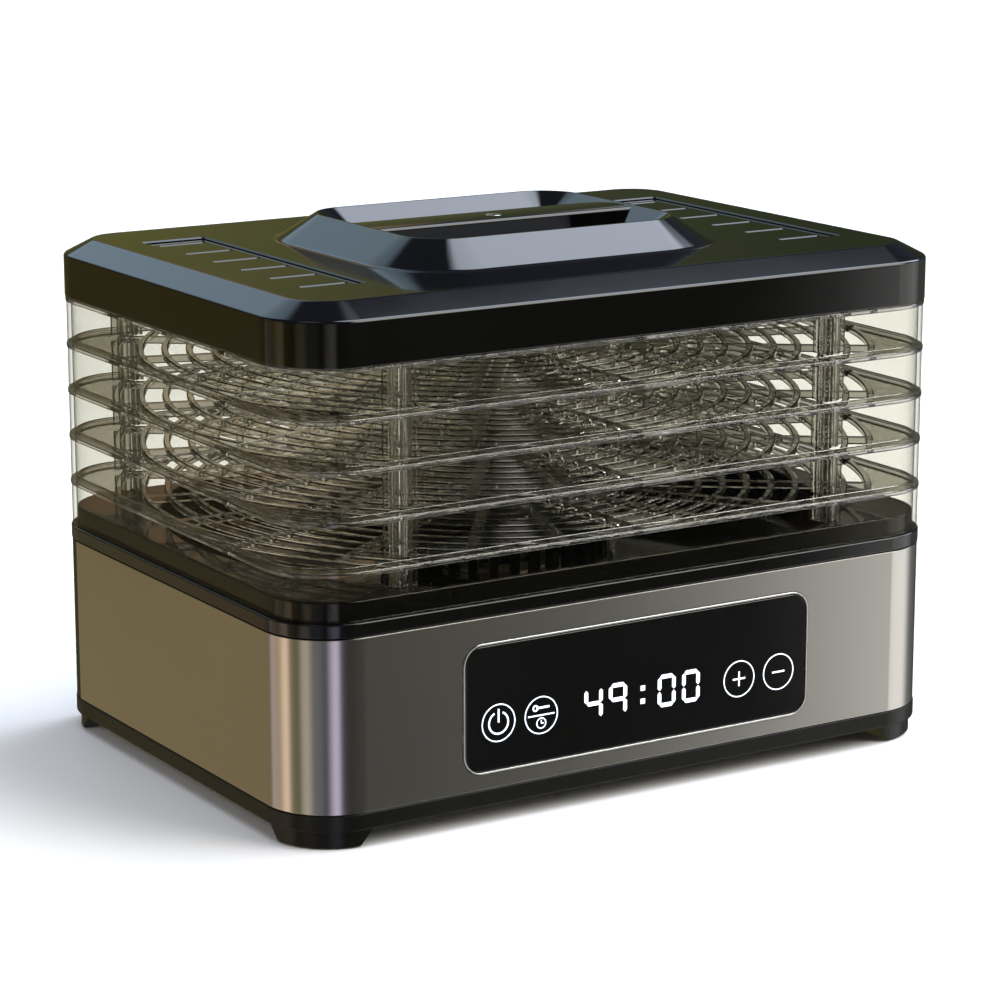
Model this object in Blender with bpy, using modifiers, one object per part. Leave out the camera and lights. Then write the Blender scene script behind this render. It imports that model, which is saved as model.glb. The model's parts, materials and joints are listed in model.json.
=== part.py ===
"""Food dehydrator: a fan base with a touch panel, five clear stacking trays and a lid.

The frame stands at the bottom centre: +X is the right side seen from the front, -Y is the front and
+Z is up.  Everything is in metres.
"""

import math

import bmesh
import bpy
from mathutils import Matrix, Vector

# ---- driving sizes ---------------------------------------------------------------------------
WIDTH = 0.3300
DEPTH = 0.2376
CORNER_RADIUS = 0.0300
CLEARANCE = 0.0003  # between pieces that touch
SLIDE_CLEARANCE = 0.0005  # between pieces that lift apart
PAST = 0.0010  # how far a cutter runs past the face it opens

PAD_STEP = 0.0005  # rubber pads stand this far below the feet
FOOT_HEIGHT = 0.0078
FOOT_LENGTH = 0.0280
FOOT_DEPTH = 0.0250
FOOT_SLANT = 0.0065
FOOT_INSET = 0.0019
SKIRT_HEIGHT = 0.0071
BAND_HEIGHT = 0.0745
BAND_THICKNESS = 0.0008
BAND_INSET = 0.0003
BAND_END = 0.0270  # from the back face to the end of the band
COVER_THICKNESS = 0.0018
CASE_WALL = 0.0022
FLOOR_THICKNESS = 0.0025

PAD_RADIUS = 0.0065
PAD_MARGIN = 0.0012
PAD_THICKNESS = 0.0020
BOSS_RADIUS = 0.0052
BOSS_INSET = 0.0300
BOSS_GAP = 0.0020  # from a boss up to the deck
DECK_BOSS_RADIUS = 0.0042
SCREW_RADIUS = 0.0016
SCREW_HEAD_RADIUS = 0.0034
SCREW_HEAD = 0.0020
DECK_SCREW_LENGTH = 0.0140
SHORT_SCREW_LENGTH = 0.0040
SCREW_GRIP = 0.0030  # how far a deck screw reaches into the deck's boss

RIM_HEIGHT = 0.0062
PLATEAU_HEIGHT = 0.0084  # above the rim
DISH_RADIUS = 0.1500
DISH_DEPTH = 0.0248
LIP_WALL = 0.0026

TRAY_PITCH = 0.0208
TRAY_COUNT = 5
TRAY_WALL = 0.0020
TRAY_INSET = 0.0006
FLANGE_INSET = 0.0002
FLANGE_HEIGHT = 0.0020
PLATE_THICKNESS = 0.0026
SPIGOT_HEIGHT = 0.0030
SPIGOT_WALL = 0.0014
RING_OUTER = 0.1681
RING_PITCH = 0.0432
RING_WIDTH = 0.0040
SPOKE_COUNT = 20
SPOKE_WIDTH = 0.0042
HUB_RADIUS = 0.0220
POST_INSET = 0.0158  # from the front or back face to a post's centre
FRONT_POST_INSET = 0.0550  # from the side face
REAR_POST_INSET = 0.0330  # less than in front, so that a tray fits one way round only
POST_RADIUS = 0.0062
POST_WALL = 0.0016

LID_SKIRT = 0.0190
LID_WALL = 0.0024
CHAMFER_RUN = 0.01265
CHAMFER_RISE = 0.0065
CREST_LENGTH = 0.1360
CREST_DEPTH = 0.1090
CREST_RADIUS = 0.0200
CREST_RISE = 0.0113
SLOPE_RUN = 0.0180
WELL_DEPTH = 0.0210
WELL_TAPER = 0.0040
BAR_WIDTH = 0.0240
CREST_LAND = 0.0010
VENT_COUNT = 6
VENT_LENGTH = 0.0220
VENT_WIDTH = 0.0026
VENT_PITCH = 0.0256
VENT_X = 0.1215
POCKET_X = 0.1220
POCKET_SIZE = (0.0300, 0.1460)
POCKET_DEPTH = 0.0010
GRIP_SCREW_RADIUS = 0.0038
GRIP_SCREW_HEAD = 0.0014
GRIP_BOSS_RADIUS = 0.0045
GRIP_BOSS_LENGTH = 0.0110
GRIP_SHANK = 0.0070
GRIP_SCREW_EDGE = 0.0005

PANEL_WIDTH = 0.1772
PANEL_HEIGHT = 0.0563
PANEL_RADIUS = 0.0090
PANEL_LIFT = 0.0501  # centre of the panel above the ground
BEZEL_WIDTH = 0.0009
GLASS_THICKNESS = 0.0011
DISPLAY_SIZE = (0.0640, 0.0060, 0.0240)
KEY_PLACES = (-0.0716, -0.0505, 0.0517, 0.0729)
KEY_LIFT = 0.0433
SPRING_RADIUS = 0.0042
BOARD_THICKNESS = 0.0016
CONTROL_BOARD_SIZE = (0.1800, 0.0400)
PANEL_SCREW_X = 0.0860
PANEL_POST_RADIUS = 0.0030
PANEL_WINDOW_MARGIN = 0.0120
PANEL_WINDOW_RADIUS = 0.0040

OUTLET_RADIUS = 0.0520
OUTLET_WALL = 0.0030
OUTLET_HEIGHT = 0.0267
OUTLET_SLOTS = 24
OUTLET_CAP = 0.0024
OUTLET_EDGE = 0.0010
OUTLET_FOOT = 0.0025
SHROUD_RADIUS = 0.0440
SHROUD_WALL = 0.0018
SHROUD_FLANGE = 0.0060
SHROUD_BOTTOM = 0.0300
FAN_RADIUS = 0.0400
FAN_HEIGHT = 0.0110
FAN_BLADES = 7
BLADE_CHORD = 0.0200
BLADE_THICKNESS = 0.0014
BLADE_PITCH = 26
BLADE_OVERLAP = 0.0030
FAN_HUB_RADIUS = 0.0110
FAN_LIFT = 0.0500
SHAFT_RADIUS = 0.0020
MOTOR_RADIUS = 0.0190
MOTOR_HEIGHT = 0.0200
MOTOR_COLLAR_RADIUS = 0.0060
MOTOR_COLLAR_HEIGHT = 0.0030
BRACKET_LIFT = 0.0220
BRACKET_WIDTH = 0.0160
BRACKET_PLATE = 0.0016
BRACKET_FLANGE = 0.0100
HEATER_LIFT = 0.0660
HEATER_FRAME_HEIGHT = 0.0090
SHIELD_WALL = 0.0008
COIL_WIRE = 0.0013
COIL_TURNS = 2.4
COIL_START = 0.0170
COIL_MARGIN = 0.0080
HEATER_ARM_WIDTH = 0.0014
FUSE_RADIUS = 0.0016
FUSE_LENGTH = 0.0100
FUSE_X = -0.0062
SENSOR_RADIUS = 0.0018
SENSOR_HEIGHT = 0.0057
SENSOR_X = 0.0080
INTAKE_RADIUS = 0.0440
INTAKE_SLOT_RADII = (0.0140, 0.0240, 0.0340)
INTAKE_SLOT_WIDTH = 0.0060
INTAKE_BAR_WIDTH = 0.0050
POWER_BOARD_SIZE = (0.0600, 0.0900)
POWER_BOARD_PLACE = (-0.1130, 0.0)
STANDOFF_HEIGHT = 0.0060
STANDOFF_RADIUS = 0.0035
STANDOFF_INSET = 0.0060
COMPONENT_RADIUS = 0.0012
GROMMET_PLACE = (0.1100, 0.0300)
GROMMET_RADIUS = 0.0060
GROMMET_FLANGE = 0.0025
GROMMET_LIP = 0.0020
GROMMET_BORE_REACH = 0.0120
CORD_RADIUS = 0.0034
REAR_WINDOW = (0.1200, 0.0300)
LOUVRE_COUNT = 6

# ---- heights that follow from them -----------------------------------------------------------
Z_CASE = FOOT_HEIGHT
Z_BAND = Z_CASE + SKIRT_HEIGHT
Z_RIM = Z_BAND + BAND_HEIGHT
Z_STACK = Z_RIM + RIM_HEIGHT
Z_PLATEAU = Z_STACK + PLATEAU_HEIGHT
Z_DISH = Z_PLATEAU - DISH_DEPTH
Z_DECK_UNDER = Z_DISH - CASE_WALL
Z_FLOOR = Z_CASE + FLOOR_THICKNESS
Z_LID = Z_STACK + TRAY_COUNT * TRAY_PITCH
Z_LID_EDGE = Z_LID + LID_SKIRT
Z_LID_TOP = Z_LID_EDGE + CHAMFER_RISE
Z_CREST = Z_LID_TOP + CREST_RISE

HALF_W = WIDTH / 2
HALF_D = DEPTH / 2
FRONT = -HALF_D
SKIN_INSET = BAND_INSET + BAND_THICKNESS + CLEARANCE  # front of the tub, behind the band
COVER_INSET = BAND_INSET + COVER_THICKNESS + CLEARANCE  # rear of the tub, behind the cover
TUB_INNER = COVER_INSET + CASE_WALL
SPIGOT_INSET = TRAY_INSET + TRAY_WALL + SLIDE_CLEARANCE
ARC_STEPS = 6
CORNERS = ("front_left", "rear_left", "front_right", "rear_right")
SIDES = ((-1, "left"), (1, "right"))

parts = None
cutters = None


def clear_scene():
    for obj in list(bpy.data.objects):
        bpy.data.objects.remove(obj)
    for collection in list(bpy.data.collections):
        bpy.data.collections.remove(collection)


def new_collection(name):
    collection = bpy.data.collections.new(name)
    bpy.context.scene.collection.children.link(collection)
    return collection


def material(name, colour, roughness, metallic=0.0, transmission=0.0):
    found = bpy.data.materials.get(name)
    if found:
        return found
    made = bpy.data.materials.new(name)
    made.use_nodes = True
    shader = made.node_tree.nodes["Principled BSDF"]
    shader.inputs["Base Color"].default_value = (*colour, 1.0)
    shader.inputs["Roughness"].default_value = roughness
    shader.inputs["Metallic"].default_value = metallic
    shader.inputs["Transmission Weight"].default_value = transmission
    made.diffuse_color = (*colour, 1.0)
    return made


def gloss_black():
    return material("gloss_black_plastic", (0.010, 0.010, 0.009), 0.12)


def satin_black():
    return material("satin_black_plastic", (0.015, 0.014, 0.013), 0.35)


def clear_plastic():
    return material("clear_tray_plastic", (0.93, 0.91, 0.84), 0.05, 0.0, 0.9)


def graphite_steel():
    return material("graphite_steel", (0.22, 0.20, 0.17), 0.32, 1.0)


def bright_steel():
    return material("bright_steel", (0.62, 0.61, 0.58), 0.25, 1.0)


def board_green():
    return material("circuit_board", (0.03, 0.16, 0.07), 0.5)


def rubber():
    return material("black_rubber", (0.02, 0.02, 0.02), 0.8)


# ---- modelling helpers -----------------------------------------------------------------------
def add_object(name, mesh, finish, smooth=False):
    obj = bpy.data.objects.new(name, mesh)
    if finish is None:
        cutters.objects.link(obj)
        obj.hide_render = True
        obj.display_type = "WIRE"
    else:
        parts.objects.link(obj)
        mesh.materials.append(finish)
    if smooth:
        mesh.shade_smooth()
        mesh.set_sharp_from_angle(angle=math.radians(35))
    return obj


def mesh_from(bm, name):
    mesh = bpy.data.meshes.new(name)
    bm.to_mesh(mesh)
    bm.free()
    return mesh


def block_mesh(bm, size, centre, radius=0.0, axis="Z", steps=ARC_STEPS):
    """A box whose four edges along one axis are rounded."""
    made = bmesh.ops.create_cube(bm, size=1.0)
    bmesh.ops.scale(bm, vec=Vector(size), verts=made["verts"])
    bmesh.ops.translate(bm, vec=Vector(centre), verts=made["verts"])
    if radius > 0.0:
        along = "XYZ".index(axis)
        edges = [e for e in {e for v in made["verts"] for e in v.link_edges}
                 if abs((e.verts[0].co - e.verts[1].co)[along]) > size[along] / 2]
        bmesh.ops.bevel(bm, geom=edges, offset=radius, segments=steps, affect="EDGES",
                        profile=0.5, material=-1)


def block(name, size, centre, finish, radius=0.0, axis="Z", steps=ARC_STEPS):
    bm = bmesh.new()
    block_mesh(bm, size, centre, radius, axis, steps)
    return add_object(name, mesh_from(bm, name), finish, smooth=radius > 0.0)


def case_block(name, inset, low, high, finish):
    """The rounded outline of the whole appliance, moved in by inset, from low to high."""
    return block(name, (WIDTH - 2 * inset, DEPTH - 2 * inset, high - low),
                 (0, 0, (low + high) / 2), finish, max(CORNER_RADIUS - inset, 0.001))


def tube_profile(inner, outer, low, high):
    return [(outer, high), (outer, low), (inner, low), (inner, high)]


def turned(name, profile, place, finish, steps=32, closed_profile=False):
    """Turns a profile of (radius, height) points about Z, down its outer side first."""
    bm = bmesh.new()
    verts = [bm.verts.new((radius, 0.0, height)) for radius, height in profile]
    ends = verts[1:] + verts[:1] if closed_profile else verts[1:]
    for a, b in zip(verts, ends):
        bm.edges.new((a, b))
    obj = add_object(name, mesh_from(bm, name), finish)
    obj.location = place
    screw = obj.modifiers.new("turn", "SCREW")
    screw.axis = "Z"
    screw.steps = steps
    screw.render_steps = steps
    screw.use_merge_vertices = True
    screw.merge_threshold = 0.00001
    screw.use_smooth_shade = False
    return obj


def disc(name, radius, low, high, place, finish, steps=32):
    return turned(name, [(0.0, high), (radius, high), (radius, low), (0.0, low)],
                  (place[0], place[1], 0.0), finish, steps)


def ring(name, inner, outer, low, high, place, finish, steps=32):
    return turned(name, tube_profile(inner, outer, low, high), (place[0], place[1], 0.0), finish,
                  steps, closed_profile=True)


def boolean(obj, other, operation):
    modifier = obj.modifiers.new(operation.lower() + "_" + other.name, "BOOLEAN")
    modifier.operation = operation
    modifier.object = other
    modifier.solver = "EXACT"
    return obj


def cut(obj, *others):
    for other in others:
        boolean(obj, other, "DIFFERENCE")


def join(obj, *others):
    for other in others:
        boolean(obj, other, "UNION")


def frustum(name, size, low, high, radius, run, finish=None, steps=ARC_STEPS):
    """A rounded block whose top is drawn in by run, so that its sides slope."""
    bm = bmesh.new()
    flat = 0.0004
    rise = high - low
    block_mesh(bm, (size[0], size[1], flat), (0, 0, low + flat / 2), radius, "Z", steps)
    top = [f for f in bm.faces if f.normal.z > 0.9]
    bmesh.ops.inset_region(bm, faces=top, thickness=run, depth=rise - flat,
                           use_even_offset=True)
    return add_object(name, mesh_from(bm, name), finish)


# ---- casing ----------------------------------------------------------------------------------
def foot_cutter(name, span, along_x):
    """A bar that leaves a foot with a slanted inner edge at each end of a side."""
    length = max(WIDTH, DEPTH) * 2
    gap = span - 2 * (FOOT_LENGTH if along_x else FOOT_DEPTH)
    size = (gap, length) if along_x else (length, gap)
    bm = bmesh.new()
    made = bmesh.ops.create_cube(bm, size=1.0)
    low = -FOOT_HEIGHT
    bmesh.ops.scale(bm, vec=(size[0], size[1], Z_CASE - low), verts=made["verts"])
    bmesh.ops.translate(bm, vec=(0, 0, (Z_CASE + low) / 2), verts=made["verts"])
    grow = FOOT_SLANT * (Z_CASE - low) / (Z_CASE - PAD_STEP)
    for vert in made["verts"]:
        side = 0 if along_x else 1
        spread = -FOOT_SLANT if vert.co.z > 0 else grow - FOOT_SLANT
        vert.co[side] += math.copysign(spread, vert.co[side])
    return add_object(name, mesh_from(bm, name), None)


def boss_places():
    inset = TUB_INNER + BOSS_INSET
    return [(sx * (HALF_W - inset), sy * (HALF_D - inset)) for sx in (-1, 1) for sy in (-1, 1)]


def pad_places():
    """Each pad's centre, inside the rounded corner of its foot."""
    reach = CORNER_RADIUS - FOOT_INSET - PAD_RADIUS - PAD_MARGIN
    inset = CORNER_RADIUS - reach * math.sqrt(0.5)
    return [(sx * (HALF_W - inset), sy * (HALF_D - inset)) for sx in (-1, 1) for sy in (-1, 1)]


def make_base_tub():
    tub = case_block("base_tub", 0.0, Z_CASE, Z_BAND, satin_black())
    feet = case_block("cut_feet_body", FOOT_INSET, PAD_STEP, Z_CASE + CLEARANCE, None)
    cut(feet, foot_cutter("cut_feet_x", WIDTH, True), foot_cutter("cut_feet_y", DEPTH, False))
    rear_wall = case_block("cut_tub_rear", COVER_INSET, Z_CASE + CLEARANCE, Z_RIM, None)
    front_wall = case_block("cut_tub_front", SKIN_INSET, Z_CASE + CLEARANCE, Z_RIM, None)
    behind = block("cut_tub_behind", (WIDTH * 2, DEPTH, Z_RIM * 3),
                   (0, HALF_D - BAND_END + DEPTH / 2, Z_RIM / 2), None)
    cut(front_wall, behind)
    cavity = case_block("cut_tub_cavity", TUB_INNER, Z_FLOOR, Z_RIM * 2, None)
    join(tub, feet, rear_wall, front_wall)
    cut(tub, cavity)
    add_tub_bosses(tub)
    cut(tub, disc("cut_intake", INTAKE_RADIUS, 0, Z_FLOOR + PAST, (0, 0), None, 32))
    for i, (x, y) in enumerate(pad_places()):
        cut(tub, disc(f"cut_pad_{i}", PAD_RADIUS + CLEARANCE, -PAST,
                      PAD_THICKNESS + CLEARANCE, (x, y), None, 16))
    window = (PANEL_WIDTH - PANEL_WINDOW_MARGIN, TUB_INNER * 4, PANEL_HEIGHT - PANEL_WINDOW_MARGIN)
    cut(tub, block("cut_panel_window", window, (0, FRONT, PANEL_LIFT), None, PANEL_WINDOW_RADIUS,
                   "Y", 3))
    cut(tub, block("cut_rear_window", (REAR_WINDOW[0], TUB_INNER * 4, REAR_WINDOW[1]),
                   (0, HALF_D, (Z_BAND + Z_RIM) / 2), None))
    cut(tub, grommet_bore("cut_tub_grommet"))


def add_tub_bosses(tub):
    """Tall bosses for the deck screws, low ones for the power board and two behind the panel."""
    boss_top = Z_DECK_UNDER - BOSS_GAP
    seat = screw_seat()
    for i, (x, y) in enumerate(boss_places()):
        join(tub, disc(f"cut_boss_{i}", BOSS_RADIUS, Z_FLOOR - PAST, boss_top, (x, y), None, 12))
        cut(tub, disc(f"cut_boss_bore_{i}", SCREW_RADIUS + CLEARANCE, 0, Z_RIM, (x, y), None, 10),
            disc(f"cut_boss_head_{i}", SCREW_HEAD_RADIUS + CLEARANCE, 0, seat, (x, y), None, 12))
    for i, (x, y) in enumerate(standoff_places()):
        join(tub, disc(f"cut_standoff_{i}", STANDOFF_RADIUS, Z_FLOOR - PAST,
                       Z_FLOOR + STANDOFF_HEIGHT, (x, y), None, 10))
    depth = board_front() - CLEARANCE - (FRONT + TUB_INNER)
    for i, (side, _) in enumerate(SIDES):
        post = lying_disc(f"cut_panel_post_{i}", PANEL_POST_RADIUS, -PAST, depth,
                          (side * PANEL_SCREW_X, FRONT + TUB_INNER, PANEL_LIFT), None, 12)
        bore = lying_disc(f"cut_panel_post_bore_{i}", SCREW_RADIUS + CLEARANCE, -PAST / 2, depth * 2,
                          (side * PANEL_SCREW_X, FRONT + TUB_INNER, PANEL_LIFT), None, 10)
        join(tub, post)
        cut(tub, bore)


def screw_seat():
    """The height of the shoulder that a deck screw's head is pulled up against."""
    return Z_DECK_UNDER + SCREW_GRIP - DECK_SCREW_LENGTH - CLEARANCE


def board_front():
    """The front face of the control board, behind the glass and the display."""
    return FRONT + GLASS_THICKNESS + CLEARANCE + DISPLAY_SIZE[1] + CLEARANCE


def lying_disc(name, radius, low, high, place, finish, steps=32):
    """A disc whose axis runs along +Y from its place."""
    lying = disc(name, radius, low, high, (0, 0), finish, steps)
    lying.rotation_euler = (math.radians(-90), 0, 0)
    lying.location = place
    return lying


def grommet_bore(name):
    x, z = GROMMET_PLACE
    bore = disc(name, GROMMET_RADIUS + CLEARANCE, -GROMMET_BORE_REACH, GROMMET_BORE_REACH, (0, 0),
                None, 20)
    bore.rotation_euler = (math.radians(90), 0, 0)
    bore.location = (x, HALF_D, z)
    return bore


def standoff_places():
    cx, cy = POWER_BOARD_PLACE
    dx, dy = POWER_BOARD_SIZE[0] / 2 - STANDOFF_INSET, POWER_BOARD_SIZE[1] / 2 - STANDOFF_INSET
    return [(cx + sx * dx, cy + sy * dy) for sx in (-1, 1) for sy in (-1, 1)]


def make_skin(name, thickness, finish):
    """A wrap around the case between the skirt and the deck rim."""
    low, high = Z_BAND + CLEARANCE, Z_RIM - CLEARANCE
    skin = case_block(name, BAND_INSET, low, high, finish)
    cut(skin, case_block("cut_inside_" + name, BAND_INSET + thickness, 0, high * 2, None))
    return skin


def make_metal_band():
    band = make_skin("metal_band", BAND_THICKNESS, graphite_steel())
    cut(band, block("cut_band_end", (WIDTH * 2, DEPTH, Z_RIM * 3),
                    (0, HALF_D - BAND_END + DEPTH / 2, 0), None))
    clear = 2 * CLEARANCE
    cut(band, block("cut_band_panel", (PANEL_WIDTH + clear, 0.01, PANEL_HEIGHT + clear),
                    (0, FRONT, PANEL_LIFT), None, PANEL_RADIUS + CLEARANCE, "Y", 5))


def make_rear_cover():
    cover = make_skin("rear_cover", COVER_THICKNESS, satin_black())
    cut(cover, block("cut_cover_end", (WIDTH * 2, DEPTH, Z_RIM * 3),
                     (0, HALF_D - BAND_END + CLEARANCE - DEPTH / 2, 0), None))
    pitch = REAR_WINDOW[1] / LOUVRE_COUNT
    for i in range(LOUVRE_COUNT):
        z = (Z_BAND + Z_RIM) / 2 + (i - (LOUVRE_COUNT - 1) / 2) * pitch
        cut(cover, block(f"cut_louvre_{i}", (REAR_WINDOW[0] - 0.006, 0.02, pitch * 0.5),
                         (0, HALF_D, z), None))
    cut(cover, grommet_bore("cut_cover_grommet"))


def make_cord_grommet():
    """A bushing through the rear wall, flush outside, with a flange inside."""
    x, z = GROMMET_PLACE
    outer = -(BAND_INSET + CLEARANCE)
    wall = -(TUB_INNER + CLEARANCE)
    flange = GROMMET_RADIUS + GROMMET_FLANGE
    end = wall - GROMMET_LIP
    profile = [(GROMMET_RADIUS, outer), (GROMMET_RADIUS, wall), (flange, wall), (flange, end),
               (CORD_RADIUS, end), (CORD_RADIUS, outer)]
    grommet = turned("cord_grommet", profile, (x, HALF_D, z), rubber(), 20, closed_profile=True)
    grommet.rotation_euler = (math.radians(-90), 0, 0)


def screw(name, place, length, turn, finish=None):
    """A pan-head screw: its seat is at the place and its shank runs along +Z before the turn."""
    profile = [(0.0, length), (SCREW_RADIUS, length), (SCREW_RADIUS, 0.0),
               (SCREW_HEAD_RADIUS, 0.0), (SCREW_HEAD_RADIUS, -SCREW_HEAD), (0.0, -SCREW_HEAD)]
    made = turned(name, profile, place, finish or bright_steel(), 10)
    made.rotation_euler = (math.radians(turn), 0, 0)


def make_feet_and_screws():
    for corner, (x, y) in zip(CORNERS, pad_places()):
        disc(f"foot_pad_{corner}", PAD_RADIUS, 0.0, PAD_THICKNESS, (x, y), rubber(), 16)
    for corner, (x, y) in zip(CORNERS, boss_places()):
        screw(f"deck_screw_{corner}", (x, y, screw_seat() - CLEARANCE), DECK_SCREW_LENGTH, 0)


def make_intake_grille():
    """A round grille in the floor, with arc slots for the air that the fan draws in."""
    low, high = Z_CASE + CLEARANCE, Z_FLOOR
    grille = disc("intake_grille", INTAKE_RADIUS - CLEARANCE, low, high, (0, 0), satin_black(), 32)
    half = INTAKE_SLOT_WIDTH / 2
    for i, radius in enumerate(INTAKE_SLOT_RADII):
        slots = ring(f"cut_intake_ring_{i}", radius - half, radius + half, 0, high * 2, (0, 0),
                     None, 16)
        for k in range(2):
            bar = block(f"cut_intake_bar_{i}_{k}", (INTAKE_RADIUS * 4, INTAKE_BAR_WIDTH, high * 8),
                        (0, 0, 0), None)
            bar.rotation_euler = (0, 0, math.radians(45 + 90 * k))
            cut(slots, bar)
        cut(grille, slots)


def dish_block(name, low, high, grow, finish=None):
    """The round dish of the deck, kept inside the front and rear lips."""
    dish = disc(name, DISH_RADIUS + grow, low, high, (0, 0), finish, 64)
    keep = case_block("cut_keep_" + name, SPIGOT_INSET + LIP_WALL - grow, low - PAST,
                      high + PAST, None)
    return boolean(dish, keep, "INTERSECT")


def post_places():
    y = HALF_D - POST_INSET
    front = [(sx * (HALF_W - FRONT_POST_INSET), -y) for sx in (-1, 1)]
    return front + [(sx * (HALF_W - REAR_POST_INSET), y) for sx in (-1, 1)]


def make_top_deck():
    low = Z_RIM + CLEARANCE
    deck = case_block("top_deck", 0.0, low, Z_STACK, gloss_black())
    plateau = case_block("cut_plateau", SPIGOT_INSET, low + PAST, Z_PLATEAU, None)
    collar = case_block("cut_deck_collar", TUB_INNER + CLEARANCE, Z_DECK_UNDER, low + 2 * PAST, None)
    under = case_block("cut_deck_under", TUB_INNER + CLEARANCE + CASE_WALL,
                       Z_DECK_UNDER - PAST, Z_PLATEAU - CASE_WALL, None)
    cut(under, dish_block("cut_dish_wall", Z_DECK_UNDER - 2 * PAST, Z_PLATEAU + PAST, CASE_WALL))
    socket_radius = POST_RADIUS + SLIDE_CLEARANCE
    for i, place in enumerate(post_places()):
        cut(under, disc(f"cut_socket_wall_{i}", socket_radius + CASE_WALL, Z_STACK - CASE_WALL,
                        Z_PLATEAU, place, None, 16))
    for i, place in enumerate(boss_places()):
        cut(under, disc(f"cut_deck_boss_{i}", DECK_BOSS_RADIUS, Z_DECK_UNDER - 2 * PAST, Z_PLATEAU,
                        place, None, 12))
    join(deck, plateau, collar)
    cut(deck, under, dish_block("cut_dish", Z_DISH, Z_PLATEAU + PAST, 0.0),
        disc("cut_deck_outlet", SHROUD_RADIUS, Z_DECK_UNDER - PAST, Z_DISH + PAST, (0, 0), None, 32))
    for i, place in enumerate(post_places()):
        cut(deck, disc(f"cut_socket_{i}", socket_radius, Z_STACK, Z_PLATEAU + PAST, place, None,
                       16))
    for i, place in enumerate(boss_places()):
        cut(deck, disc(f"cut_pilot_{i}", SCREW_RADIUS + CLEARANCE, Z_DECK_UNDER - 2 * PAST,
                       Z_DECK_UNDER + SCREW_GRIP + PAST, place, None, 10))


def make_outlet_grille():
    """The slatted drum over the fan: air leaves sideways and juice stays out."""
    low = Z_DISH + CLEARANCE
    high = low + OUTLET_HEIGHT
    roof = high - OUTLET_CAP
    inner = OUTLET_RADIUS - OUTLET_WALL
    profile = [(0.0, high), (OUTLET_RADIUS - OUTLET_EDGE, high), (OUTLET_RADIUS, high - OUTLET_EDGE),
               (OUTLET_RADIUS, low), (inner, low), (inner, roof), (0.0, roof)]
    drum = turned("outlet_grille", profile, (0, 0, 0), satin_black(), 48)
    bm = bmesh.new()
    slot_low, slot_high = low + OUTLET_FOOT, roof - OUTLET_EDGE
    width = 2 * math.pi * inner / OUTLET_SLOTS * 0.5
    for i in range(OUTLET_SLOTS):
        made = bmesh.ops.create_cube(bm, size=1.0)
        bmesh.ops.scale(bm, vec=(OUTLET_WALL * 4, width, slot_high - slot_low),
                        verts=made["verts"])
        bmesh.ops.translate(bm, vec=(inner, 0, (slot_low + slot_high) / 2), verts=made["verts"])
        turn = Matrix.Rotation(2 * math.pi * (i + 0.5) / OUTLET_SLOTS, 3, "Z")
        bmesh.ops.rotate(bm, cent=(0, 0, 0), matrix=turn, verts=made["verts"])
    cut(drum, add_object("cut_outlet_slots", mesh_from(bm, "cut_outlet_slots"), None))


# ---- trays and lid ---------------------------------------------------------------------------
def grid_cutter(name, low, high):
    """The openings between the rings and spokes of a tray, inside its walls."""
    bm = bmesh.new()
    step = 2 * math.pi / SPOKE_COUNT
    reach = RING_OUTER
    while reach - RING_PITCH > HUB_RADIUS:
        outer = reach - RING_WIDTH / 2
        inner = reach - RING_PITCH + RING_WIDTH / 2
        for i in range(SPOKE_COUNT):
            made = bmesh.ops.create_cube(bm, size=1.0)
            for vert in made["verts"]:
                radius = outer if vert.co.x > 0 else inner
                edge = math.asin(SPOKE_WIDTH / 2 / radius)
                angle = i * step + (step - edge if vert.co.y > 0 else edge)
                vert.co = (radius * math.cos(angle), radius * math.sin(angle),
                           high if vert.co.z > 0 else low)
        reach -= RING_PITCH
    cells = add_object(name, mesh_from(bm, name), None)
    for i, (x, y) in enumerate(post_places()):
        web = block(f"cut_post_web_{i}", (RING_PITCH * 1.4, POST_RADIUS * 2, 0.1), (0, 0, 0), None)
        web.location = (x, y, 0)
        web.rotation_euler = (0, 0, math.atan2(y, x))
        cut(cells, web)
    frame = SPIGOT_INSET + SPIGOT_WALL + 0.0012
    return boolean(cells, case_block("cut_keep_" + name, frame, low - 0.01, high + 0.01, None),
                   "INTERSECT")


def make_tray_mesh():
    """One tray with its top at the origin, made once and shared by the stack."""
    top = 0.0
    bottom = top - TRAY_PITCH + CLEARANCE
    tray = case_block("tray_master", TRAY_INSET, bottom, top, None)
    spigot = case_block("cut_tray_spigot", SPIGOT_INSET, top - PAST, top + SPIGOT_HEIGHT, None)
    hollow = case_block("cut_tray_hollow", SPIGOT_INSET + SPIGOT_WALL, top,
                        top + SPIGOT_HEIGHT * 2, None)
    skirt = case_block("cut_tray_skirt", TRAY_INSET + TRAY_WALL, bottom - 0.01,
                       top - PLATE_THICKNESS, None)
    flange = case_block("cut_tray_flange", FLANGE_INSET, top - FLANGE_HEIGHT, top, None)
    join(tray, flange)
    cut(tray, skirt)
    join(tray, spigot)
    cut(tray, hollow, grid_cutter("cut_tray_grid", top - 0.01, top + 0.002))
    for i, place in enumerate(post_places()):
        join(tray, disc(f"cut_post_{i}", POST_RADIUS, bottom, top, place, None, 10))
        cut(tray, disc(f"cut_post_bore_{i}", POST_RADIUS - POST_WALL, bottom - 0.01,
                       top - PLATE_THICKNESS, place, None, 10))
    graph = bpy.context.evaluated_depsgraph_get()
    return tray, bpy.data.meshes.new_from_object(tray.evaluated_get(graph))


def make_trays():
    master, mesh = make_tray_mesh()
    mesh.materials.clear()
    mesh.materials.append(clear_plastic())
    mesh.shade_smooth()
    mesh.set_sharp_from_angle(angle=math.radians(35))
    bpy.data.objects.remove(master)
    for number in range(1, TRAY_COUNT + 1):
        tray = bpy.data.objects.new(f"tray_{number}", mesh)
        parts.objects.link(tray)
        tray.location = (0, 0, Z_LID - (number - 1) * TRAY_PITCH)


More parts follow.
